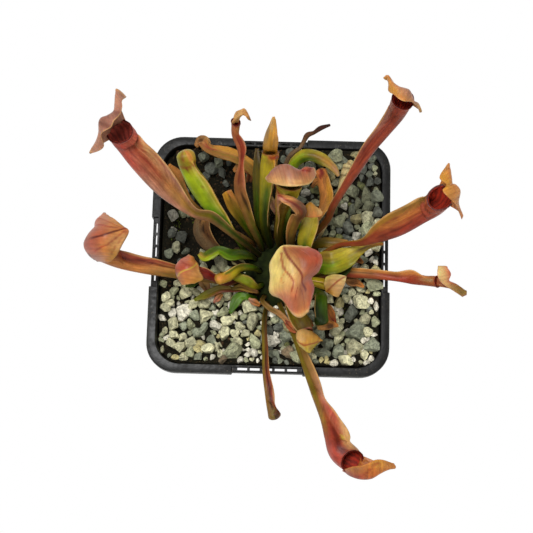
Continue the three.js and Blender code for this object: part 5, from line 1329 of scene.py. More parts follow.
        tube=[(0, 1, "orange tan"), (0, 0.92, "golden"), (0.3, 0.75, "olive"), (-0.3, 0.6, "yellow green"),
            (0, 0.5, "olive"), (0, 0.35, "bright green"), (0, 0, "dark green")],
        veins=0.15, vein="dark green",
        tube_lines=[([(0.3, 0.3), (0.3, 0.8)], 0.2, "green", 0.6)],
        wing="yellow green"),
    "pitcher_shut_lower": dict(
        tube=[(0, 1, "yellow green"), (0, 0.85, "lime"), (0.3, 0.65, "lime"), (0, 0.45, "yellow green"),
            (0, 0.1, "green")],
        tube_lines=[([(-1, 0.2), (-0.9, 0.9)], 0.2, "red brown", 0.6),
            ([(0.1, 0.4), (0.15, 0.9)], 0.12, "yellow", 0.7)],
        veins=0.15, vein="olive", wing="yellow"),
    "pitcher_dry_crumpled": dict(
        tube=[(0, 0.2, "dark brown"), (0, 0.45, "grey brown"), (0.4, 0.65, "brown"),
            (-0.4, 0.7, "grey brown"), (0, 0.85, "tan"), (0, 1, "brown")],
        # The black spots are painted shade in the crumpled leaf's holes.
        tube_lines=[spot_at(0.1, 0.72, 0.24, "black", 0.95), spot_at(-0.2, 0.82, 0.16, "black", 0.9),
            spot_at(0.4, 0.62, 0.14, "dark brown", 0.9)],
        dry_tube=(0.6, 1), vein="dark brown"),
    "leaf_back_curved": dict(
        tube=[(0, 0, "dark green"), (0, 0.3, "olive"), (0, 0.5, "olive tan"), (0.5, 0.62, "golden"),
            (-0.4, 0.65, "olive tan"), (0, 0.8, "olive tan"), (0, 0.9, "dull red"), (0, 1, "tan")],
        tube_lines=[([(0.2, 0.8), (0.4, 0.9)], 0.16, "brick", 0.8),
            ([(-0.3, 0.45), (-0.2, 0.75)], 0.1, "olive", 0.6)],
        dry_tube=(0, 0.9), vein="brick"),
    "leaf_back_spotted": dict(
        tube=[(0, 0, "dark green"), (0, 0.35, "green"), (0, 0.6, "olive"), (0, 0.8, "olive tan"),
            (-0.3, 0.95, "golden"), (0.4, 1, "orange tan")],
        tube_lines=[spot_at(0.2, 0.9, 0.14, "dark brown"), spot_at(-0.3, 0.8, 0.12, "dark brown"),
            spot_at(0.1, 0.7, 0.1, "dark brown"), spot_at(-0.1, 0.95, 0.1, "dark brown")]),
    "leaf_back_slender": dict(
        tube=[(0, 0, "dark green"), (0, 0.4, "green"), (0, 0.7, "olive"), (0, 0.9, "dark olive"),
            (0, 1, "brown")]),
    "leaf_back_right_arched": dict(
        tube=[(0, 0, "dark green"), (0, 0.3, "bright green"), (0, 0.42, "lime"), (0, 0.5, "lime"),
            (-0.6, 0.56, "yellow green"), (0.6, 0.56, "green"), (0, 0.66, "olive tan"), (0, 0.78, "golden"),
            (0, 0.9, "dusty pink"), (0, 1, "pale tan")]),
    "leaf_right_yellow": dict(
        tube=[(0, 0, "dark green"), (0, 0.2, "green"), (0.6, 0.32, "green"), (-0.6, 0.35, "olive tan"),
            (0.3, 0.42, "bright green"), (0.4, 0.48, "yellow green"), (-0.5, 0.5, "yellow green"),
            (0.2, 0.62, "yellow green"), (-0.5, 0.65, "yellow"), (0, 0.8, "brown"), (0, 1, "orange")],
        tube_lines=[([(0.05, 0.3), (0.1, 0.6)], 0.12, "dark olive", 0.5)]),
    "leaf_right_pale_tip": dict(
        tube=[(0, 0, "olive"), (0, 0.5, "olive"), (0, 0.8, "olive tan"), (0, 1, "tan")]),
    "leaf_inner_bright": dict(
        tube=[(0, 0, "dark green"), (0, 0.6, "green"), (0, 1, "bright green")],
        veins=0.1),
    "leaf_left_curled": dict(
        tube=[(0, 0, "dark green"), (0, 0.3, "green"), (-0.3, 0.5, "bright green"), (0.5, 0.5, "green"),
            (-0.5, 0.7, "lime"), (0.4, 0.75, "green"), (0, 0.85, "yellow green"), (0, 1, "tan")]),
    "leaf_front_left_narrow": dict(
        tube=[(0, 0, "olive"), (0, 0.4, "olive tan"), (-0.8, 0.5, "red brown"), (0, 0.7, "olive"),
            (0, 0.9, "yellow green"), (0, 1, "bright green")]),
    "leaf_front_left_pointed": dict(
        tube=[(0, 0, "green"), (0, 0.5, "bright green"), (0, 1, "green")],
        veins=0.1),
    "leaf_front_ribbon": dict(
        tube=[(0, 0, "dark olive"), (0, 0.4, "olive tan"), (0, 0.7, "tan"), (0, 0.9, "dusty pink"),
            (0, 1, "tan")],
        dry_tube=(0.2, 0.8)),
    "leaf_back_dry_tip": dict(
        tube=[(0, 0, "brown"), (0, 0.6, "olive tan"), (0, 0.8, "orange tan"), (0, 1, "orange tan")],
        dry_tube=(0.2, 0.9)),
    "stalk_dead": dict(
        tube=[(0, 0, "brown"), (0, 0.5, "grey brown"), (0, 0.7, "brown"), (0, 0.85, "black"),
            (0, 1, "black")],
        dry_tube=(0.7, 1)),
    "tube_dry_fallen": dict(
        tube=[(0, 0, "brown"), (0, 0.45, "bone"), (0, 1, "bone")],
        tube_lines=[([(-1, 0.68), (1, 0.71)], 0.07, "dark brown", 0.8),
            ([(-1, 0.8), (1, 0.83)], 0.07, "dark brown", 0.7), ([(-1, 0.93), (1, 0.9)], 0.06, "brown", 0.7)],
        dry_tube=(0.8, 1), vein="brown"),
}

# %% [markdown]
# ## Growing all the leaves
# Each leaf becomes one object that stands for its solid. Its seed only shifts the small waves, so that
# no two leaves ripple alike. A crest says how high the wing stands along a leaf, against its usual
# height: the lobes and notches that the photo shows.

# %% Build every leaf
BOX_MARGIN = 0.02
DARKEST_BY_CROWN, SHADE_TOP, SHADE_REACH, SHADE_FADE = 0.35, 100, 6, 16
SHADE_X, SHADE_Y = 1, -2
CRESTS = {
    "pitcher_back_left": [(0.5, 0.9), (0.75, 0.95), (0.86, 1.3), (0.905, 1.2), (0.925, 0.3), (1, 0)],
    "pitcher_left": [(0.4, 0.5), (0.66, 0.8), (0.74, 1.6), (0.88, 1.5), (0.96, 0.5)],
    "pitcher_right": [(0.3, 0.6), (0.6, 1.1), (0.77, 1.5), (0.8, 1.5), (0.815, 0.5), (0.88, 0.9), (1, 0.3)],
    "pitcher_front_long": [(0.2, 0.5), (0.36, 1.7), (0.44, 1.5), (0.53, 0.3), (0.64, 1.5), (0.8, 1.2),
                           (0.9, 0.4)],
    "pitcher_front_slim": [(0.3, 0.4), (0.6, 0.8), (0.68, 2.4), (0.76, 2.2), (0.84, 0.5)],
    "pitcher_right_slim": [(0.2, 1), (0.5, 0.8), (0.62, 1.7), (0.72, 1.6), (0.85, 0.4)],
    "pitcher_tall_back_right": [(0.3, 0.6), (0.7, 1.2), (0.85, 1.5), (0.93, 1)],
}
BUILDERS = {"flat": blade_sheet, "open": open_tube, "shut": shut_tube}


def keep_in_box(points):
    """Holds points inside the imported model's box."""
    low, high = np.array(cad_low) / MM, np.array(cad_high) / MM
    return np.clip(points, low + BOX_MARGIN, high - BOX_MARGIN)


def deep_in(points):
    """How much of its tint a point keeps: low down beside the crown the leaves are painted darker, as
    painted shade.
    """
    away = np.hypot(points[:, 0] - SHADE_X, points[:, 1] - SHADE_Y)
    above = np.maximum(points[:, 2] - SHADE_TOP, 0)
    return DARKEST_BY_CROWN + (1 - DARKEST_BY_CROWN) * smooth((away - SHADE_REACH + above * 0.7) / SHADE_FADE)


def triangles_of(piece):
    return sum(len(p.vertices) - 2 for p in piece.data.polygons)


triangles = 0
for number, (name, leaf) in enumerate(LEAVES.items()):
    leaf["seed"] = 1.7 * number
    leaf["crest"] = CRESTS.get(name, [(0, 1)])
    leaf["paint"] = PAINT[name]
    skin = Skin()
    BUILDERS[leaf["kind"]](skin, leaf)
    if "hood" in leaf:
        hood_sheet(skin, leaf)
    skin.points = [keep_in_box(p) for p in skin.points]
    # Near the crown the tints are painted darker: painted shade.
    skin.tint = [tint * deep_in(p)[:, None] for tint, p in zip(skin.tint, skin.points)]
    piece = skin.make("leaf." + name, leaf_skin)
    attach(piece, "root")
    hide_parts(name)
    triangles += triangles_of(piece)
print("leaves:", len(LEAVES), "triangles:", triangles)

# %% [markdown]
# ## The pot
# The pot is moulded black plastic: a square shell with round corners, a ledge round its top and a
# skirt that hangs down outside the ledge. A shell of this kind is a loft, one rounded square ring
# after another, up the outside, over the rim and down the inside. Each side of the rim has a grip in
# its middle, where the skirt steps in and the ledge steps down, so every ring carries points there.

# %% The pot's shell
POT_RINGS = [
    # half width, corner radius, height, step in and step down at the grip
    (31, 7, 0, 0, 0), (31.7, 7.7, 0.3, 0, 0), (32, 8, 1.2, 0, 0), (42.5, 10, 93.2, 0, 0),
    (44.1, 10.5, 93.2, 0.6, 0), (44.1, 10.5, 89.8, 0.6, 0), (44.3, 10.6, 89.5, 0.6, 0),
    (44.8, 10.9, 89.5, 0.6, 0), (45, 11, 89.8, 0.6, 0), (45, 11, 94.3, 0.6, 0.8),
    (44.85, 10.9, 94.8, 0.6, 0.8), (44.4, 10.6, 95, 0.6, 0.8), (42.55, 9.8, 95, 0, 0.8),
    (42.4, 9.7, 95, 0, 0), (41.9, 9.4, 95, 0, 0), (41.65, 9.25, 94.8, 0, 0), (41.6, 9.2, 94.3, 0, 0),
    (41.6, 9.2, 92, 0, 0), (36.4, 8, 46.9, 0, 0), (31.3, 6.9, 2.2, 0, 0), (30.9, 6.6, 1.8, 0, 0)]
GRIP_HALF, GRIP_SLOPE = 13, 0.3
GRIP_PLACES = (-GRIP_HALF - GRIP_SLOPE, -GRIP_HALF, -6, 0, 6, GRIP_HALF, GRIP_HALF + GRIP_SLOPE)
CORNER_STEPS = 12


def square_ring(half, corner, height, step_in=0.0, step_down=0.0):
    """A rounded square, with extra points where the grip of each side starts and ends."""
    ring = []
    for side in range(4):
        turned = math.radians(90 * (side + 0.5))
        for step in range(CORNER_STEPS + 1):
            angle = math.radians(90 * (side + step / CORNER_STEPS))
            reach = (half - corner) * math.sqrt(2)
            ring.append((reach * math.cos(turned) + corner * math.cos(angle),
                         reach * math.sin(turned) + corner * math.sin(angle), height))
        away, along = math.radians(90 * (side + 1)), math.radians(90 * (side + 2))
        for across in GRIP_PLACES:
            inside = abs(across) <= GRIP_HALF
            out = half - step_in * inside
            ring.append((out * math.cos(away) + across * math.cos(along),
                         out * math.sin(away) + across * math.sin(along), height - step_down * inside))
    return ring


def loft(name, rings):
    """A closed body through rings with the same number of points."""
    count = len(rings[0])
    points = [p for ring in rings for p in ring]
    faces = [list(range(count))[::-1], list(range(len(points) - count, len(points)))]
    for row in range(len(rings) - 1):
        for k in range(count):
            a, b = row * count + k, row * count + (k + 1) % count
            faces.append((a, b, b + count, a + count))
    return plain_mesh(name, points, faces)


pot = loft("black_pot", [square_ring(*ring) for ring in POT_RINGS])
print("pot shell faces:", len(pot.data.polygons))

# %% [markdown]
# ### Black plastic
# Old nursery pots are satin black. The rim is scuffed grey where hands and trays rub it, and a little
# dust and peat clings to the plastic. A group multiplies a broad noise by a fine one, so that the
# scuffs come in patches, and the material shows them mostly on the skirt and the outer edge, where the
# grey is also a painted highlight for the sheen that the light leaves there.

# %% The group "Dust and Scuffs" and the material "black_plastic"
SKIRT_FROM, SKIRT_FULL = 0.0440, 0.0449
SCUFF_AND_SHEEN_FROM, SCUFF_AND_SHEEN_FULL = 0.06, 0.094

scuff_group, given, result = new_group("Dust and Scuffs", {
    "Vector": (VECTOR, None), "Grain": (FLOAT, 900.0), "Amount": (FLOAT, 0.5)},
    {"Scuffs": FLOAT, "Dust": FLOAT})
t = scuff_group
broad = noise(t, 90.0, 3.0, given["Vector"])
wear = maths(t, "MULTIPLY", broad, noise(t, given["Grain"], 3.0, given["Vector"]))
grit = add_node(t, "ShaderNodeTexVoronoi", {"Vector": given["Vector"], "Scale": given["Grain"]})
grains = ranged(t, grit.outputs["Distance"], 0.1, 0.25, 1.0, 0.0)
fill(t, result, {"Scuffs": maths(t, "MULTIPLY", ranged(t, wear, 0.18, 0.4), given["Amount"]),
                 "Dust": maths(t, "MULTIPLY", grains, ranged(t, broad, 0.5, 0.7))})

black_plastic, t, shader = new_material("black_plastic")
worn = grouped(t, scuff_group, {"Vector": object_place(t), "Amount": 1.0})
place = add_node(t, "ShaderNodeSeparateXYZ", {0: object_place(t)}).outputs
reach = maths(t, "MAXIMUM", maths(t, "ABSOLUTE", place[0]), maths(t, "ABSOLUTE", place[1]))
outer = ranged(t, reach, SKIRT_FROM, SKIRT_FULL)
high = ranged(t, place[2], SCUFF_AND_SHEEN_FROM, SCUFF_AND_SHEEN_FULL)
# Grey on the upper skirt and outer rim: real scuffs, and a painted highlight for the sheen there.
scuffs_and_sheen = maths(t, "MULTIPLY", maths(t, "MULTIPLY", outer, high),
               maths(t, "MULTIPLY_ADD", worn["Scuffs"], 0.6, 0.25))
greyed = mixed(t, scuffs_and_sheen, (0.002, 0.002, 0.002), (0.03, 0.031, 0.0285))
fill(t, shader, {
    "Base Color": mixed(t, maths(t, "MULTIPLY", worn["Dust"], 0.5), greyed, (0.16, 0.13, 0.09)),
    "Roughness": ranged(t, worn["Scuffs"], 0.0, 1.0, 0.38, 0.62), "Specular IOR Level": 0.22,
    "Normal": bump(t, worn["Scuffs"], 0.25, 0.0002)})
print("black_plastic nodes:", len(t.nodes))

# %% [markdown]
# ### Slots and drain holes
# The slots of the four grips are one row of boxes, copied round, and the drain holes are a grid of
# pegs without its middle. That is a rule, so a Geometry Nodes tree lays them out and cuts them from
# the shell in one Mesh Boolean. `new_tree` starts such a tree and `dress` ends it, with real mesh that
# wears its material. `run_tree` sets a tree's inputs, takes what it makes as a plain mesh and removes
# the modifier again.

# %% Cut the openings
def new_tree(name, inputs):
    """A tree that takes a mesh, its own named inputs and a material, and gives a mesh."""
    return new_group(name, {"Geometry": (GEOMETRY, None), **inputs, "Material": (SURFACE, None)},
                     {"Geometry": GEOMETRY}, "GeometryNodeTree")


def dress(tree, given, result, geometry):
    """Ends a tree: its instances become real mesh, which wears the material."""
    real = first_out(tree, "GeometryNodeRealizeInstances", {0: geometry})
    worn = first_out(tree, "GeometryNodeSetMaterial", {"Geometry": real, "Material": given["Material"]})
    fill(tree, result, {0: worn})


def run_tree(piece, tree, values):
    """Runs a Geometry Nodes tree on a piece and keeps the result as its mesh."""
    live = piece.modifiers.new(tree.name, "NODES")
    live.node_group = tree
    for item in tree.interface.items_tree:
        if item.in_out == "INPUT" and item.name in values:
            live[item.identifier] = values[item.name]
    ready = piece.evaluated_get(bpy.context.evaluated_depsgraph_get())
    mesh = bpy.data.meshes.new_from_object(ready)
    piece.modifiers.remove(live)
    piece.data = mesh
    return mesh


def xyz(tree, x=0.0, y=0.0, z=0.0):
    return first_out(tree, "ShaderNodeCombineXYZ", {0: x, 1: y, 2: z})


def on_points(tree, points, instance, **more):
    return first_out(tree, "GeometryNodeInstanceOnPoints", {"Points": points, "Instance": instance, **more})


openings, given, result = new_tree("Pot Openings", {
    "Slots a Side": (INTEGER, 5), "Slot Pitch": (FLOAT, 0.0046),
    "Slot Size": (VECTOR, (0.0036, 0.0009, 0.008)), "Slot Distance": (FLOAT, 0.0431),
    "Slot Height": (FLOAT, 0.093), "Hole Radius": (FLOAT, 0.003), "Hole Spread": (FLOAT, 0.038)})
t = openings
back_by = maths(t, "MULTIPLY", maths(t, "SUBTRACT", given["Slots a Side"], 1.0), -0.5)
first = maths(t, "MULTIPLY", back_by, given["Slot Pitch"])
row = first_out(t, "GeometryNodeMeshLine", {
    "Count": given["Slots a Side"], "Offset": xyz(t, given["Slot Pitch"]),
    "Start Location": xyz(t, first, given["Slot Distance"], given["Slot Height"])})
slots = on_points(t, row, first_out(t, "GeometryNodeMeshCube", {"Size": given["Slot Size"]}))
one_side = first_out(t, "GeometryNodeGeometryToInstance", {0: slots})
turns = first_out(t, "GeometryNodeMeshLine", {"Count": 4, "Offset": (0.0, 0.0, 0.0)})
quarter = maths(t, "MULTIPLY", first_out(t, "GeometryNodeInputIndex"), math.pi / 2)
round_pot = on_points(t, turns, one_side, Rotation=xyz(t, 0.0, 0.0, quarter))
nine = first_out(t, "GeometryNodeMeshGrid", {
    "Size X": given["Hole Spread"], "Size Y": given["Hole Spread"], "Vertices X": 3, "Vertices Y": 3})
not_middle = first_out(t, "FunctionNodeCompare", {2: first_out(t, "GeometryNodeInputIndex"), 3: 4},
                       data_type="INT", operation="NOT_EQUAL")
peg = first_out(t, "GeometryNodeMeshCylinder", {
    "Vertices": 24, "Radius": given["Hole Radius"], "Depth": 0.006})
holes = on_points(t, nine, peg, Selection=not_middle)
cutters = add_node(t, "GeometryNodeJoinGeometry")
for part in (round_pot, holes):
    t.links.new(part, cutters.inputs[0])
solid = first_out(t, "GeometryNodeRealizeInstances", {0: cutters.outputs[0]})
cut = first_out(t, "GeometryNodeMeshBoolean", {"Mesh 1": given["Geometry"], "Mesh 2": solid},
                operation="DIFFERENCE")
dress(t, given, result, cut)

mesh = run_tree(pot, openings, {"Material": black_plastic})
mesh.set_sharp_from_angle(angle=math.radians(32))
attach(pot, "root")
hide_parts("pot")
print("pot faces with its openings:", len(mesh.polygons))

# %% [markdown]
# ## Peat
# Between the stones, and bare in the upper left of the photo, lies dark, crumbly peat mix. Its skin is
# a closed slab with a top of concentric rings, and a tree of noise nodes raises and lowers only the
# top. The potting mix below it keeps its solid and gets the same peat.

# %% The peat's material and the crumbly bed
BED_HEIGHT, BED_THICK, BED_HEAP = 86, 3.2, 6.5
RISE_RIGHT, RISE_BACK = 0.05, 0.03
HEAP_FROM, HEAP_WIDTH = 32, 9
INSIDE_LOW, INSIDE_HIGH = 31.2, 41.6
INSIDE_FLOOR, INSIDE_DEPTH, WALL_GAP = 1.8, 90.2, 0.35

peat, t, shader = new_material("peat")
crumbs = grouped(t, mottle_group, {
    "Vector": object_place(t), "Blotch": 420.0, "Speck": 1500.0, "Amount": 1.6})
# The peat's colours are set darker than peat is: partly painted shade among the stones and leaves.
soil = mixed(t, crumbs["Blotches"], (0.002, 0.0018, 0.001), (0.009, 0.0075, 0.003))
fill(t, shader, {
    "Base Color": mixed(t, maths(t, "MULTIPLY", crumbs["Specks"], 0.6), soil, (0.07, 0.045, 0.02)),
    "Roughness": 0.95, "Specular IOR Level": 0.15, "Normal": bump(t, crumbs["Blotches"], 1.0, 0.0008)})


def bed_at(x, y):
    """The bed's height. It rises to the right and the back, and it is heaped up against the wall."""
    against_wall = smooth((np.maximum(np.abs(x), np.abs(y)) - HEAP_FROM) / HEAP_WIDTH)
    return BED_HEIGHT + RISE_RIGHT * x + RISE_BACK * y + BED_HEAP * against_wall


def room_half(z):
    """Half the width inside the pot at a height, less a small gap."""
    return INSIDE_LOW + (INSIDE_HIGH - INSIDE_LOW) * (z - INSIDE_FLOOR) / INSIDE_DEPTH - WALL_GAP


def fill_ring(share, drop):
    """A ring of the bed: its share of the way out to the wall, and how far it lies below the top."""
    half = room_half(BED_HEIGHT + BED_HEAP * share**8 - drop) - 0.3
    return [(x, y, bed_at(x, y) - drop) for x, y, _ in square_ring(share * half, share * 8.6, 0)]


bed_rings = [fill_ring(0.98, BED_HEAP + BED_THICK)]
bed_rings += [fill_ring(share, 0) for share in np.linspace(1, 0.01, 60)]
bed_piece = loft("peat_bed", bed_rings)

crumble, given, result = new_tree("Crumbly Top", {
    "Lump Scale": (FLOAT, 160.0), "Lump Height": (FLOAT, 0.0016), "Crumb Scale": (FLOAT, 700.0),
    "Crumb Height": (FLOAT, 0.0009)})
t = crumble
lumps, bits = [maths(t, "MULTIPLY", maths(t, "SUBTRACT", noise(t, given[size + " Scale"], 2.0), 0.5),
                     given[size + " Height"]) for size in ("Lump", "Crumb")]
facing = add_node(t, "ShaderNodeSeparateXYZ", {0: first_out(t, "GeometryNodeInputNormal")}).outputs[2]
raised = first_out(t, "GeometryNodeSetPosition", {
    "Geometry": given["Geometry"], "Selection": maths(t, "GREATER_THAN", facing, 0.5),
    "Offset": xyz(t, 0.0, 0.0, maths(t, "ADD", lumps, bits))})
dress(t, given, result, raised)

run_tree(bed_piece, crumble, {"Material": peat})
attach(bed_piece, "root")
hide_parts("pumice_gravel")
print("bed faces:", len(bed_piece.data.polygons))

# %% [markdown]
# ## The pumice grit
# The stones are angular, tightly packed and of many sizes. The ones that catch the eye are listed: each
# entry below gives the place in the picture, the size and the tone of a stone, and
# `on_height` casts it on the bed. The rest are thrown down with a fixed seed, fewer of them on the
# bare peat, and pushed off each other until they lie side by side, as loose stones settle. Small ones
# fill the gaps.

# %% The stones' places, sizes and tones
# The dark tones, given mostly to stones at the back, are partly the stones' own grey and partly painted
# shade under the leaves.
TONES = {"w": "efe9d4", "c": "d6d2aa", "g": "b9bb94", "s": "999e85", "d": "74776a", "b": "8f7a5c",
         "m": "7d7f48", "y": "d4c78c"}
SEEN = """
207,276,8w 227,292,13c 195,292,9c 185,294,11c 246,296,9c 237,303,9s 193,304,13c 206,304,11c 220,302,10c
213,308,8s 183,312,16w 223,312,13g 205,316,13c 248,307,15c 235,315,10c 191,324,9g 204,328,12s 215,325,10w
228,321,12c 240,326,9c 252,322,15c 183,326,10s 197,334,12s 212,340,13s 223,333,12c 235,333,9c 245,334,9c
182,338,9c 254,343,12g 232,352,19g 217,348,10c 199,357,11s 183,356,9c 223,360,8b 279,327,11d 273,341,14w
286,337,11s 275,354,11s 288,353,12b 296,357,11g 269,323,5c 307,346,9w 312,357,10c 323,352,14s 320,333,16s
337,331,12c 337,340,10c 342,322,8c 340,312,11w 330,300,10c 347,298,9c 352,312,16d 361,302,16c 173,216,12w
176,248,11c 186,251,9s 172,233,8d 204,158,11s 189,157,8d 212,167,12d 222,173,12d 207,177,8d 229,162,8d
226,184,8d 262,166,8d 181,262,8d 165,266,7s 186,192,9w 190,200,9s 214,210,9d 170,190,8d 356,332,22s
366,320,10c 371,313,6c 368,331,11c 375,322,9g 372,344,14s 354,349,16c 337,353,14s 346,361,13c 364,355,10c
337,183,12c 362,178,8d 352,191,14g 366,194,14g 358,204,11g 358,219,13y 377,222,11c 340,220,14g 349,228,14d
357,236,11w 347,238,9d 345,207,8w 369,252,10w 377,247,10c 364,260,9s 375,286,12g 362,287,10c 335,155,14g
355,155,11y 372,160,8s 190,287,8c 177,283,8c 166,297,8c 170,303,10c 165,308,9c 170,253,9s 219,162,10s
"""
SEEN_SWELL = 1.25
POT_CORNER = 7
THROW_HALF, LOOSE_COUNT, GAP_TRIES = 40, 270, 4000
LOOSE_RADIUS, GAP_RADIUS = (1.9, 3.5), (1.2, 1.9)
BAREST = 0.97
HIGH_LIE, LOW_LIE = 0.4, -0.2
SEEN_CROWDING, CROWDING = 0.6, 0.62
SETTLE_ROUNDS, TOUCHING, GIVE_WAY = 80, 0.74, 0.35
chance = np.random.default_rng(7)
mm_per_pixel = (camera_place.z / MM - BED_HEIGHT) / math.sin(tilt) / FOCAL_PX
leaf_points = np.concatenate([curve_at(leaf["spine"], np.linspace(0, len(leaf["spine"]) - 1, 28))
                              for leaf in LEAVES.values()])


def room_at(x, y, radius):
    """Whether a stone fits inside the pot and beside the crown and the leaves."""
    straight = room_half(bed_at(x, y)) + 0.5 - radius * 0.8 - POT_CORNER
    past = np.hypot(max(abs(x) - straight, 0), max(abs(y) - straight, 0))
    if past >= POT_CORNER or np.hypot(x - CROWN_X, y - CROWN_Y) < CROWN_RADIUS - 3:
        return False
    apart = leaf_points[:, :3] - np.array((x, y, bed_at(x, y) + radius * 0.3))
    kept_off = np.maximum(leaf_points[:, 3], 2) / 2 + radius * 0.6
    return bool(np.all(np.linalg.norm(apart, axis=1) > kept_off))


def is_peaty(x, y):
    """How bare the peat lies: 1 in the upper left quarter, 0 elsewhere."""
    return smooth((y - x * 0.35 + 2) / 8) * smooth((12 - x) / 10)


stones = []


def place_stone(x, y, radius, tone, lie, crowding):
    """Adds a stone if there is room for it.

    Its centre lies above the bed by lie times its radius, and crowding says how near to others."""
    if not room_at(x, y, radius):
        return
    z = bed_at(x, y) + 0.3 + radius * lie
    if all(math.dist((x, y, z), other[:3]) >= crowding * (radius + other[3]) for other in stones):
        stones.append((x, y, z, radius, tone))


for entry in SEEN.split():
    px, py, size = entry.split(",")
    radius = int(size[:-1]) * mm_per_pixel / 2 * SEEN_SWELL
    spot = on_height(int(px), int(py), lambda x, y: bed_at(x, y) + radius * 0.5)
    place_stone(spot.x, spot.y, radius, size[-1], HIGH_LIE, SEEN_CROWDING)
seen_count = len(stones)


def settle(fixed, loose):
    """Pushes loose stones off each other and off the fixed ones, until they lie side by side."""
    own = np.arange(len(loose))
    for _ in range(SETTLE_ROUNDS):
        everything = np.concatenate([fixed, loose])
        apart = loose[:, None, :2] - everything[None, :, :2]
        distance = np.maximum(np.linalg.norm(apart, axis=2), 0.01)
        lack = np.maximum(TOUCHING * (loose[:, None, 2] + everything[None, :, 2]) - distance, 0)
        lack[own, len(fixed) + own] = 0
        loose[:, :2] += np.sum(apart * (lack / distance)[..., None], axis=1) * GIVE_WAY
        half = (room_half(BED_HEIGHT + BED_HEAP) + 0.4 - loose[:, 2] * 0.7)[:, None]
        loose[:, :2] = np.clip(loose[:, :2], -half, half)
    return loose


def stays(x, y):
    """Whether a stone that is thrown there stays: seldom on the bare peat."""
    return chance.random() > BAREST * is_peaty(x, y)


loose = []
while len(loose) < LOOSE_COUNT:
    x, y = chance.uniform(-THROW_HALF, THROW_HALF, 2)
    if stays(x, y) and np.hypot(x - CROWN_X, y - CROWN_Y) > CROWN_RADIUS - 4:
        loose.append((x, y, chance.uniform(*LOOSE_RADIUS)))
fixed = np.array([(x, y, radius) for x, y, _, radius, _ in stones])
placed = settle(fixed, np.array(loose)).tolist()
gaps = [(*chance.uniform(-THROW_HALF, THROW_HALF, 2), chance.uniform(*GAP_RADIUS)) for _ in range(GAP_TRIES)]
for x, y, radius in placed + [gap for gap in gaps if stays(*gap[:2])]:
    # Towards the back the tones are drawn darker and greener: partly moss, partly painted shade under the
    # leaves.
    pale = 0.8 - 0.65 * smooth((y + 2) / 14)
    tone = chance.choice(list("wwccgy" if chance.random() < pale else "ggssddm"))
    place_stone(x, y, radius, str(tone), HIGH_LIE if radius > LOOSE_RADIUS[0] else LOW_LIE, CROWDING)
print("stones seen:", seen_count, "stones in all:", len(stones))

# %% [markdown]
# ### Chipping the stones
# A pumice chip is a ball with its sides knocked off. The tree puts a low sphere on every point, turns
# them into real mesh, and then repeats one step: pick a direction for each stone at random, and press
# flat everything that sticks out beyond a plane across it. A stretch and a turn make every stone
# different. Each vertex knows its stone by the "heart" and "stone" stored on the points, and its size
# by "reach".

# %% The tree "Chipped Stones"
chipped, given, result = new_tree("Chipped Stones", {
    "Roundness": (INTEGER, 2), "Chips": (INTEGER, 12), "Nearest Chip": (FLOAT, 0.46),
    "Farthest Chip": (FLOAT, 0.78), "Stretch": (FLOAT, 0.24), "Seed": (INTEGER, 1)})
t = chipped
FULL_TURN = (6.28, 6.28, 6.28)


def store(tree, geometry, label, value, data_type="FLOAT"):
    return first_out(tree, "GeometryNodeStoreNamedAttribute", {
        "Geometry": geometry, "Name": label, "Value": value}, data_type=data_type)


def named(tree, label, data_type="FLOAT"):
    return first_out(tree, "GeometryNodeInputNamedAttribute", {"Name": label}, data_type=data_type)


def scaled(tree, vector, amount):
    return first_out(tree, "ShaderNodeVectorMath", {0: vector, "Scale": amount}, operation="SCALE")


def random_vector(tree, low, high, identity, seed):
    return first_out(tree, "FunctionNodeRandomValue", {0: low, 1: high, "ID": identity, "Seed": seed},
                     data_type="FLOAT_VECTOR")


def random_number(tree, low, high, identity, seed):
    wires = {2: low, 3: high, "ID": identity, "Seed": seed}
    return add_node(tree, "FunctionNodeRandomValue", wires, data_type="FLOAT").outputs[1]


ball = first_out(t, "GeometryNodeMeshIcoSphere", {"Radius": 1.0, "Subdivisions": given["Roundness"]})
position = first_out(t, "GeometryNodeInputPosition")
hearts = store(t, given["Geometry"], "heart", position, "FLOAT_VECTOR")
points = store(t, hearts, "stone", first_out(t, "GeometryNodeInputIndex"), "INT")
real = first_out(t, "GeometryNodeRealizeInstances", {0: on_points(t, points, ball)})
heart, stone = named(t, "heart", "FLOAT_VECTOR"), named(t, "stone", "INT")

start = t.nodes.new("GeometryNodeRepeatInput")
end = t.nodes.new("GeometryNodeRepeatOutput")
start.pair_with_output(end)
fill(t, start, {"Geometry": real, "Iterations": given["Chips"]})
turn_seed = maths(t, "MULTIPLY_ADD", start.outputs["Iteration"], 7.0, given["Seed"])
way = vmaths(t, "NORMALIZE", random_vector(t, (-1.0, -1.0, -1.0), (1.0, 1.0, 1.0), stone, turn_seed))
depth_seed = maths(t, "ADD", turn_seed, 3.0)
depth = random_number(t, given["Nearest Chip"], given["Farthest Chip"], stone, depth_seed)
local = vmaths(t, "SUBTRACT", position, heart)
beyond = maths(t, "SUBTRACT", vmaths(t, "DOT_PRODUCT", local, way, 1), depth)
pressed = first_out(t, "GeometryNodeSetPosition", {
    "Geometry": start.outputs["Geometry"], "Selection": maths(t, "GREATER_THAN", beyond, 0.0),
    "Offset": scaled(t, way, maths(t, "MULTIPLY", beyond, -1.0))})
fill(t, end, {"Geometry": pressed})

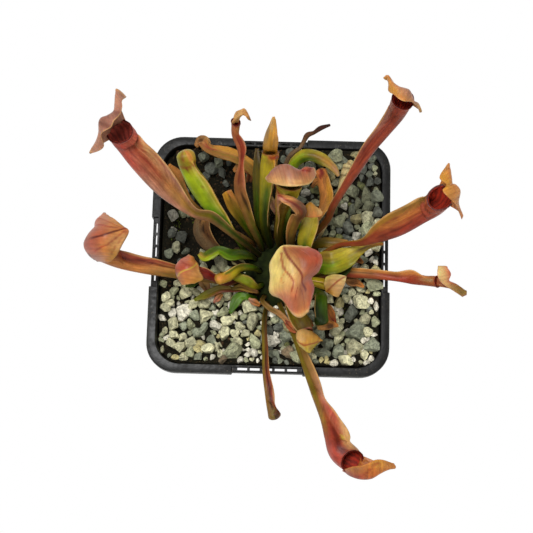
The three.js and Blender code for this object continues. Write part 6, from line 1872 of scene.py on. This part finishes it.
least = maths(t, "SUBTRACT", 1.0, given["Stretch"])
most = maths(t, "ADD", 1.0, given["Stretch"])
stretch = random_vector(t, xyz(t, least, least, least), xyz(t, most, most, most), stone, given["Seed"])
spin = random_vector(t, (0.0, 0.0, 0.0), FULL_TURN, stone, maths(t, "ADD", given["Seed"], 50.0))
turned = first_out(t, "ShaderNodeVectorRotate", {
    "Vector": vmaths(t, "MULTIPLY", local, stretch), "Rotation": spin}, rotation_type="EULER_XYZ")
sized = scaled(t, turned, named(t, "reach"))
final = first_out(t, "GeometryNodeSetPosition", {
    "Geometry": end.outputs["Geometry"], "Position": vmaths(t, "ADD", sized, heart)})
dress(t, given, result, final)
print("Chipped Stones nodes:", len(t.nodes))

# %% [markdown]
# ### Pumice
# Each stone carries its own tone, painted darker towards the back as painted shade, and the material adds
# what all pumice has: blotches, open pores that look like dark pinholes, and a rough, light-scattering skin.

# %% The material "pumice" and the stones' meshes
pumice, t, shader = new_material("pumice")
blotch = grouped(t, mottle_group, {
    "Vector": object_place(t), "Blotch": 700.0, "Speck": 2400.0, "Amount": 1.7})
lit = ranged(t, blotch["Blotches"], 0.0, 1.0, 0.35, 1.4)
body_tone = mixed(t, 1.0, attribute(t, "tint", "Color"), lit, "MULTIPLY")
pores = add_node(t, "ShaderNodeTexVoronoi", {"Vector": object_place(t), "Scale": 1900.0})
pinholes = ranged(t, pores.outputs["Distance"], 0.12, 0.3, 1.0, 0.0)
dark = mixed(t, maths(t, "MULTIPLY", pinholes, 0.45), body_tone, (0.05, 0.05, 0.04))
relief = maths(t, "SUBTRACT", blotch["Blotches"], maths(t, "MULTIPLY", pinholes, 0.6))
fill(t, shader, {
    "Base Color": mixed(t, maths(t, "MULTIPLY", blotch["Specks"], 0.7), dark, (0.06, 0.06, 0.05)),
    "Roughness": 0.92, "Normal": bump(t, relief, 1.0, 0.0008)})


def dimmed(x, y):
    """How much darker the stones are painted towards the back left: painted shade under the leaves."""
    return 1 - 0.5 * smooth((y + 2 - 0.3 * x) / 12)


def stone_piece(name, some_stones, roundness, seed):
    """Points with a reach and a tint, which the tree turns into stones."""
    piece = plain_mesh(name, [s[:3] for s in some_stones], [])
    reach = piece.data.attributes.new("reach", "FLOAT", "POINT")
    reach.data.foreach_set("value", [s[3] * MM for s in some_stones])
    tint = piece.data.attributes.new("tint", "FLOAT_COLOR", "POINT")
    for k, (x, y, _, _, tone) in enumerate(some_stones):
        # Darker towards the back: painted shade.
        shade = linear(TONES[tone]) * chance.uniform(0.6, 1.1) * dimmed(x, y)
        tint.data[k].color = (*np.clip(shade, 0, 1), 1)
    run_tree(piece, chipped, {"Roundness": roundness, "Seed": seed, "Material": pumice})
    piece.data.set_sharp_from_angle(angle=math.radians(24))
    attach(piece, "root")
    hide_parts("pumice_gravel")
    print(name, "triangles:", triangles_of(piece))


stone_piece("pumice_large", stones[:seen_count], 3, 11)
stone_piece("pumice_small", stones[seen_count:], 2, 29)

# %% [markdown]
# ## The parts below
# The potting mix and the rootstock are right as they are, and only get their materials. Old leaf
# bases cover the rootstock, a dark green with paler patches, and it lies deep in the leaves' shade, so it
# is painted nearly black: partly its own colour, partly painted shade.

# %% Dress the solids that stay
crown_in_shade, t, shader = new_material("crown_in_shade")
bases = grouped(t, mottle_group, {"Vector": object_place(t), "Blotch": 400.0, "Amount": 2.5})
fill(t, shader, {
    # Nearly black with paler patches: partly painted shade.
    "Base Color": mixed(t, bases["Blotches"], (0.001, 0.002, 0.0005), (0.012, 0.017, 0.003)),
    "Roughness": 0.8, "Specular IOR Level": 0.05})
for name, material in (("potting_mix", peat), ("rhizome", crown_in_shade)):
    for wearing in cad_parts[name].material_slots:
        wearing.material = material
    print(name, "wears", material.name)

# %% [markdown]
# ## Litter on the bed
# Old plants drop bits of leaf. Each scrap is a small folded blade like the larger leaves, laid along
# pixels of the photo: (px, py, height above the bed, width), in pixels and mm, where the width is in
# pixels too. Its colours run from one end to the other.

# %% Scraps of leaf
SCRAPS = {
    "dark_green_right": ([(330, 279, 9, 6), (338, 274, 11, 10), (346, 268, 12, 10), (353, 261, 12, 2)],
        ["dark green", "green", "dark green"]),
    "dark_green_left": ([(186, 286, 4, 2), (192, 284, 5, 6), (197, 281, 5, 6), (202, 279, 4, 2)],
        ["green", "dark green"]),
    "brown_right_upper": ([(345, 258, 5, 3), (352, 257, 6, 7), (358, 260, 6, 6), (363, 263, 5, 2)],
        ["brown", "red brown", "tan"]),
    "tan_right_lower": ([(345, 280, 5, 3), (351, 282, 6, 8), (357, 283, 6, 7), (364, 287, 5, 2)],
        ["tan", "brown", "orange tan"]),
    "pink_left": ([(199, 276, 5, 3), (203, 281, 6, 9), (206, 287, 5, 8), (208, 293, 4, 2)],
        ["dusty pink", "pale tan", "mauve pink"]),
    "tan_left": ([(214, 302, 5, 2), (218, 298, 6, 6), (222, 294, 5, 2)], ["pink", "tan"]),
    "pink_front": ([(249, 299, 6, 2), (254, 302, 7, 6), (260, 305, 6, 3)], ["dusty pink", "orange tan"]),
    "brown_front": ([(322, 303, 6, 3), (328, 308, 8, 7), (331, 316, 8, 8), (335, 323, 6, 3)],
        ["brown", "orange tan", "brick"]),
    "red_front": ([(285, 321, 8, 3), (290, 326, 9, 7), (295, 330, 9, 6), (298, 326, 8, 2)],
        ["red brown", "salmon", "brick"]),
    "pink_front_right": ([(304, 316, 9, 3), (308, 321, 10, 6), (311, 327, 9, 5)],
        ["salmon", "pale tan", "brick"]),
    "golden_left": ([(232, 289, 8, 3), (241, 287, 9, 6), (250, 290, 9, 5), (258, 292, 8, 2)],
        ["olive", "olive tan", "brown"]),
    "brown_back": ([(196, 146, 6, 5), (201, 140, 8, 9), (206, 144, 9, 9), (204, 151, 7, 4)],
        ["tan", "brown", "pale tan", "brown"]),
    "dry_back": ([(234, 171, 12, 4), (242, 165, 14, 9), (250, 172, 13, 8), (249, 182, 10, 5)],
        ["orange tan", "pale tan", "dull red", "brown"]),
    "tan_back_right": ([(312, 187, 8, 3), (318, 181, 10, 7), (324, 188, 9, 8), (331, 196, 8, 3)],
        ["brown", "orange tan", "golden", "tan"]),
    "mauve_back": ([(270, 196, 12, 3), (273, 204, 13, 8), (278, 213, 13, 7), (281, 222, 11, 3)],
        ["olive", "dusty pink", "tan"]),
}


def scrap_piece(name, course, colours, number):
    """One dry scrap, laid along its pixels of the photo."""
    spine = []
    for px, py, above, width in course:
        spot = on_height(px, py, lambda x, y: bed_at(x, y) + above)
        spine.append([spot.x, spot.y, spot.z, max(width * mm_per_pixel, 0.9)])
    spread = np.linspace(0, 1, len(colours))
    paint = {"tube": [(0, along, colour) for along, colour in zip(spread, colours)], "dry_tube": (0.5, 0.9),
             "tube_lines": [([(0.5, 0.1), (0.3, 0.9)], 0.25, "dark brown", 0.5)], "vein": "brown"}
    leaf = {"kind": "flat", "fold": 0.9, "spine": np.array(spine), "seed": 3.1 * number, "paint": paint}
    skin = Skin()
    blade_sheet(skin, leaf)
    piece = skin.make("scrap." + name, leaf_skin)
    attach(piece, "root")


for number, (name, (course, colours)) in enumerate(SCRAPS.items()):
    scrap_piece(name, course, colours, number)
print("scraps:", len(SCRAPS))

# %% [markdown]
# ### Crumbs and moss
# Small crumbs of peat and tufts of moss lie about too. There are hundreds, so a tree scatters them: it
# throws points on the bed's top and puts a rough grain of 20 faces on each. The same tree makes both.
# Crumbs lie nearly everywhere on the peat, thickest where it lies bare. Moss grows in tufts, so its
# points are kept only near a few places, with the help of a noise.

# %% The tree "Scattered Grains"
SHADE_SEED = 5
scatter, given, result = new_tree("Scattered Grains", {
    "Density": (FLOAT, 200000.0), "Smallest": (FLOAT, 0.0003), "Largest": (FLOAT, 0.0012),
    "Patch Scale": (FLOAT, 60.0), "Bareness": (FLOAT, 0.5), "Flatness": (FLOAT, 0.6), "Seed": (INTEGER, 1)})
t = scatter
patch = maths(t, "GREATER_THAN", noise(t, given["Patch Scale"], 1.0), given["Bareness"])
here = maths(t, "MULTIPLY", named(t, "peaty"), patch)
thrown = add_node(t, "GeometryNodeDistributePointsOnFaces", {
    "Mesh": given["Geometry"], "Seed": given["Seed"],
    "Density": maths(t, "MULTIPLY", here, given["Density"])})
grain = first_out(t, "GeometryNodeMeshIcoSphere", {"Radius": 1.0, "Subdivisions": 1})
number = first_out(t, "GeometryNodeInputIndex")
size = random_number(t, given["Smallest"], given["Largest"], number, given["Seed"])
low = maths(t, "MULTIPLY", size, given["Flatness"])
toned = store(t, thrown.outputs["Points"], "shade", random_number(t, 0.0, 1.0, number, SHADE_SEED))
spin = random_vector(t, (0.0, 0.0, 0.0), FULL_TURN, number, given["Seed"])
dress(t, given, result, on_points(t, toned, grain, Scale=xyz(t, size, low, low), Rotation=spin))
print("Scattered Grains nodes:", len(t.nodes))

# %% [markdown]
# Each grain has its own "shade" from 0 to 1, and the two materials turn it into a colour: dark peat
# to dry brown for the crumbs, and dark green to yellow green for the moss.

# %% Crumbs and moss on the bed
MOSS_TUFTS = [(184, 219, 9), (171, 228, 7), (196, 196, 5), (216, 282, 5), (228, 264, 6), (210, 301, 4),
              (172, 262, 5), (345, 291, 5), (262, 318, 4), (338, 246, 6), (183, 270, 4)]
tufts = [(on_height(px, py, bed_at), size * mm_per_pixel) for px, py, size in MOSS_TUFTS]


def grain_material(name, dark, pale):
    """A finish that turns the shade of each grain into a colour."""
    made, t, shader = new_material(name)
    fill(t, shader, {"Base Color": mixed(t, attribute(t, "shade"), dark, pale), "Roughness": 0.9,
                     "Specular IOR Level": 0.15})
    return made


def grain_piece(name, share_at, material, **settings):
    """Scatters grains on a copy of the bed's top: share_at(x, y) is how thick they lie."""
    piece = loft(name, bed_rings)
    spots = [v.co / MM for v in piece.data.vertices]
    share = piece.data.attributes.new("peaty", "FLOAT", "POINT")
    share.data.foreach_set("value", [share_at(p.x, p.y) if p.z > bed_at(p.x, p.y) - 1 else 0 for p in spots])
    run_tree(piece, scatter, {"Material": material, **settings})
    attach(piece, "root")
    print(name, "triangles:", triangles_of(piece))


def mossy(x, y):
    """How thick the moss grows: 1 in the middle of a tuft, 0 beyond its edge."""
    return float(max(smooth(1.3 - math.hypot(x - spot.x, y - spot.y) / reach) for spot, reach in tufts))


crumb = grain_material("peat_crumbs", (0.004, 0.003, 0.002), (0.055, 0.03, 0.014))
moss = grain_material("moss", (0.008, 0.018, 0.002), (0.11, 0.14, 0.015))
grain_piece("peat_crumbs", lambda x, y: 0.15 + 0.85 * float(is_peaty(x, y)), crumb)
grain_piece("moss_tufts", mossy, moss, **{
    "Density": 3000000.0, "Bareness": 0.42, "Smallest": 0.0003, "Largest": 0.0009, "Patch Scale": 300.0,
    "Flatness": 0.35, "Seed": 4})
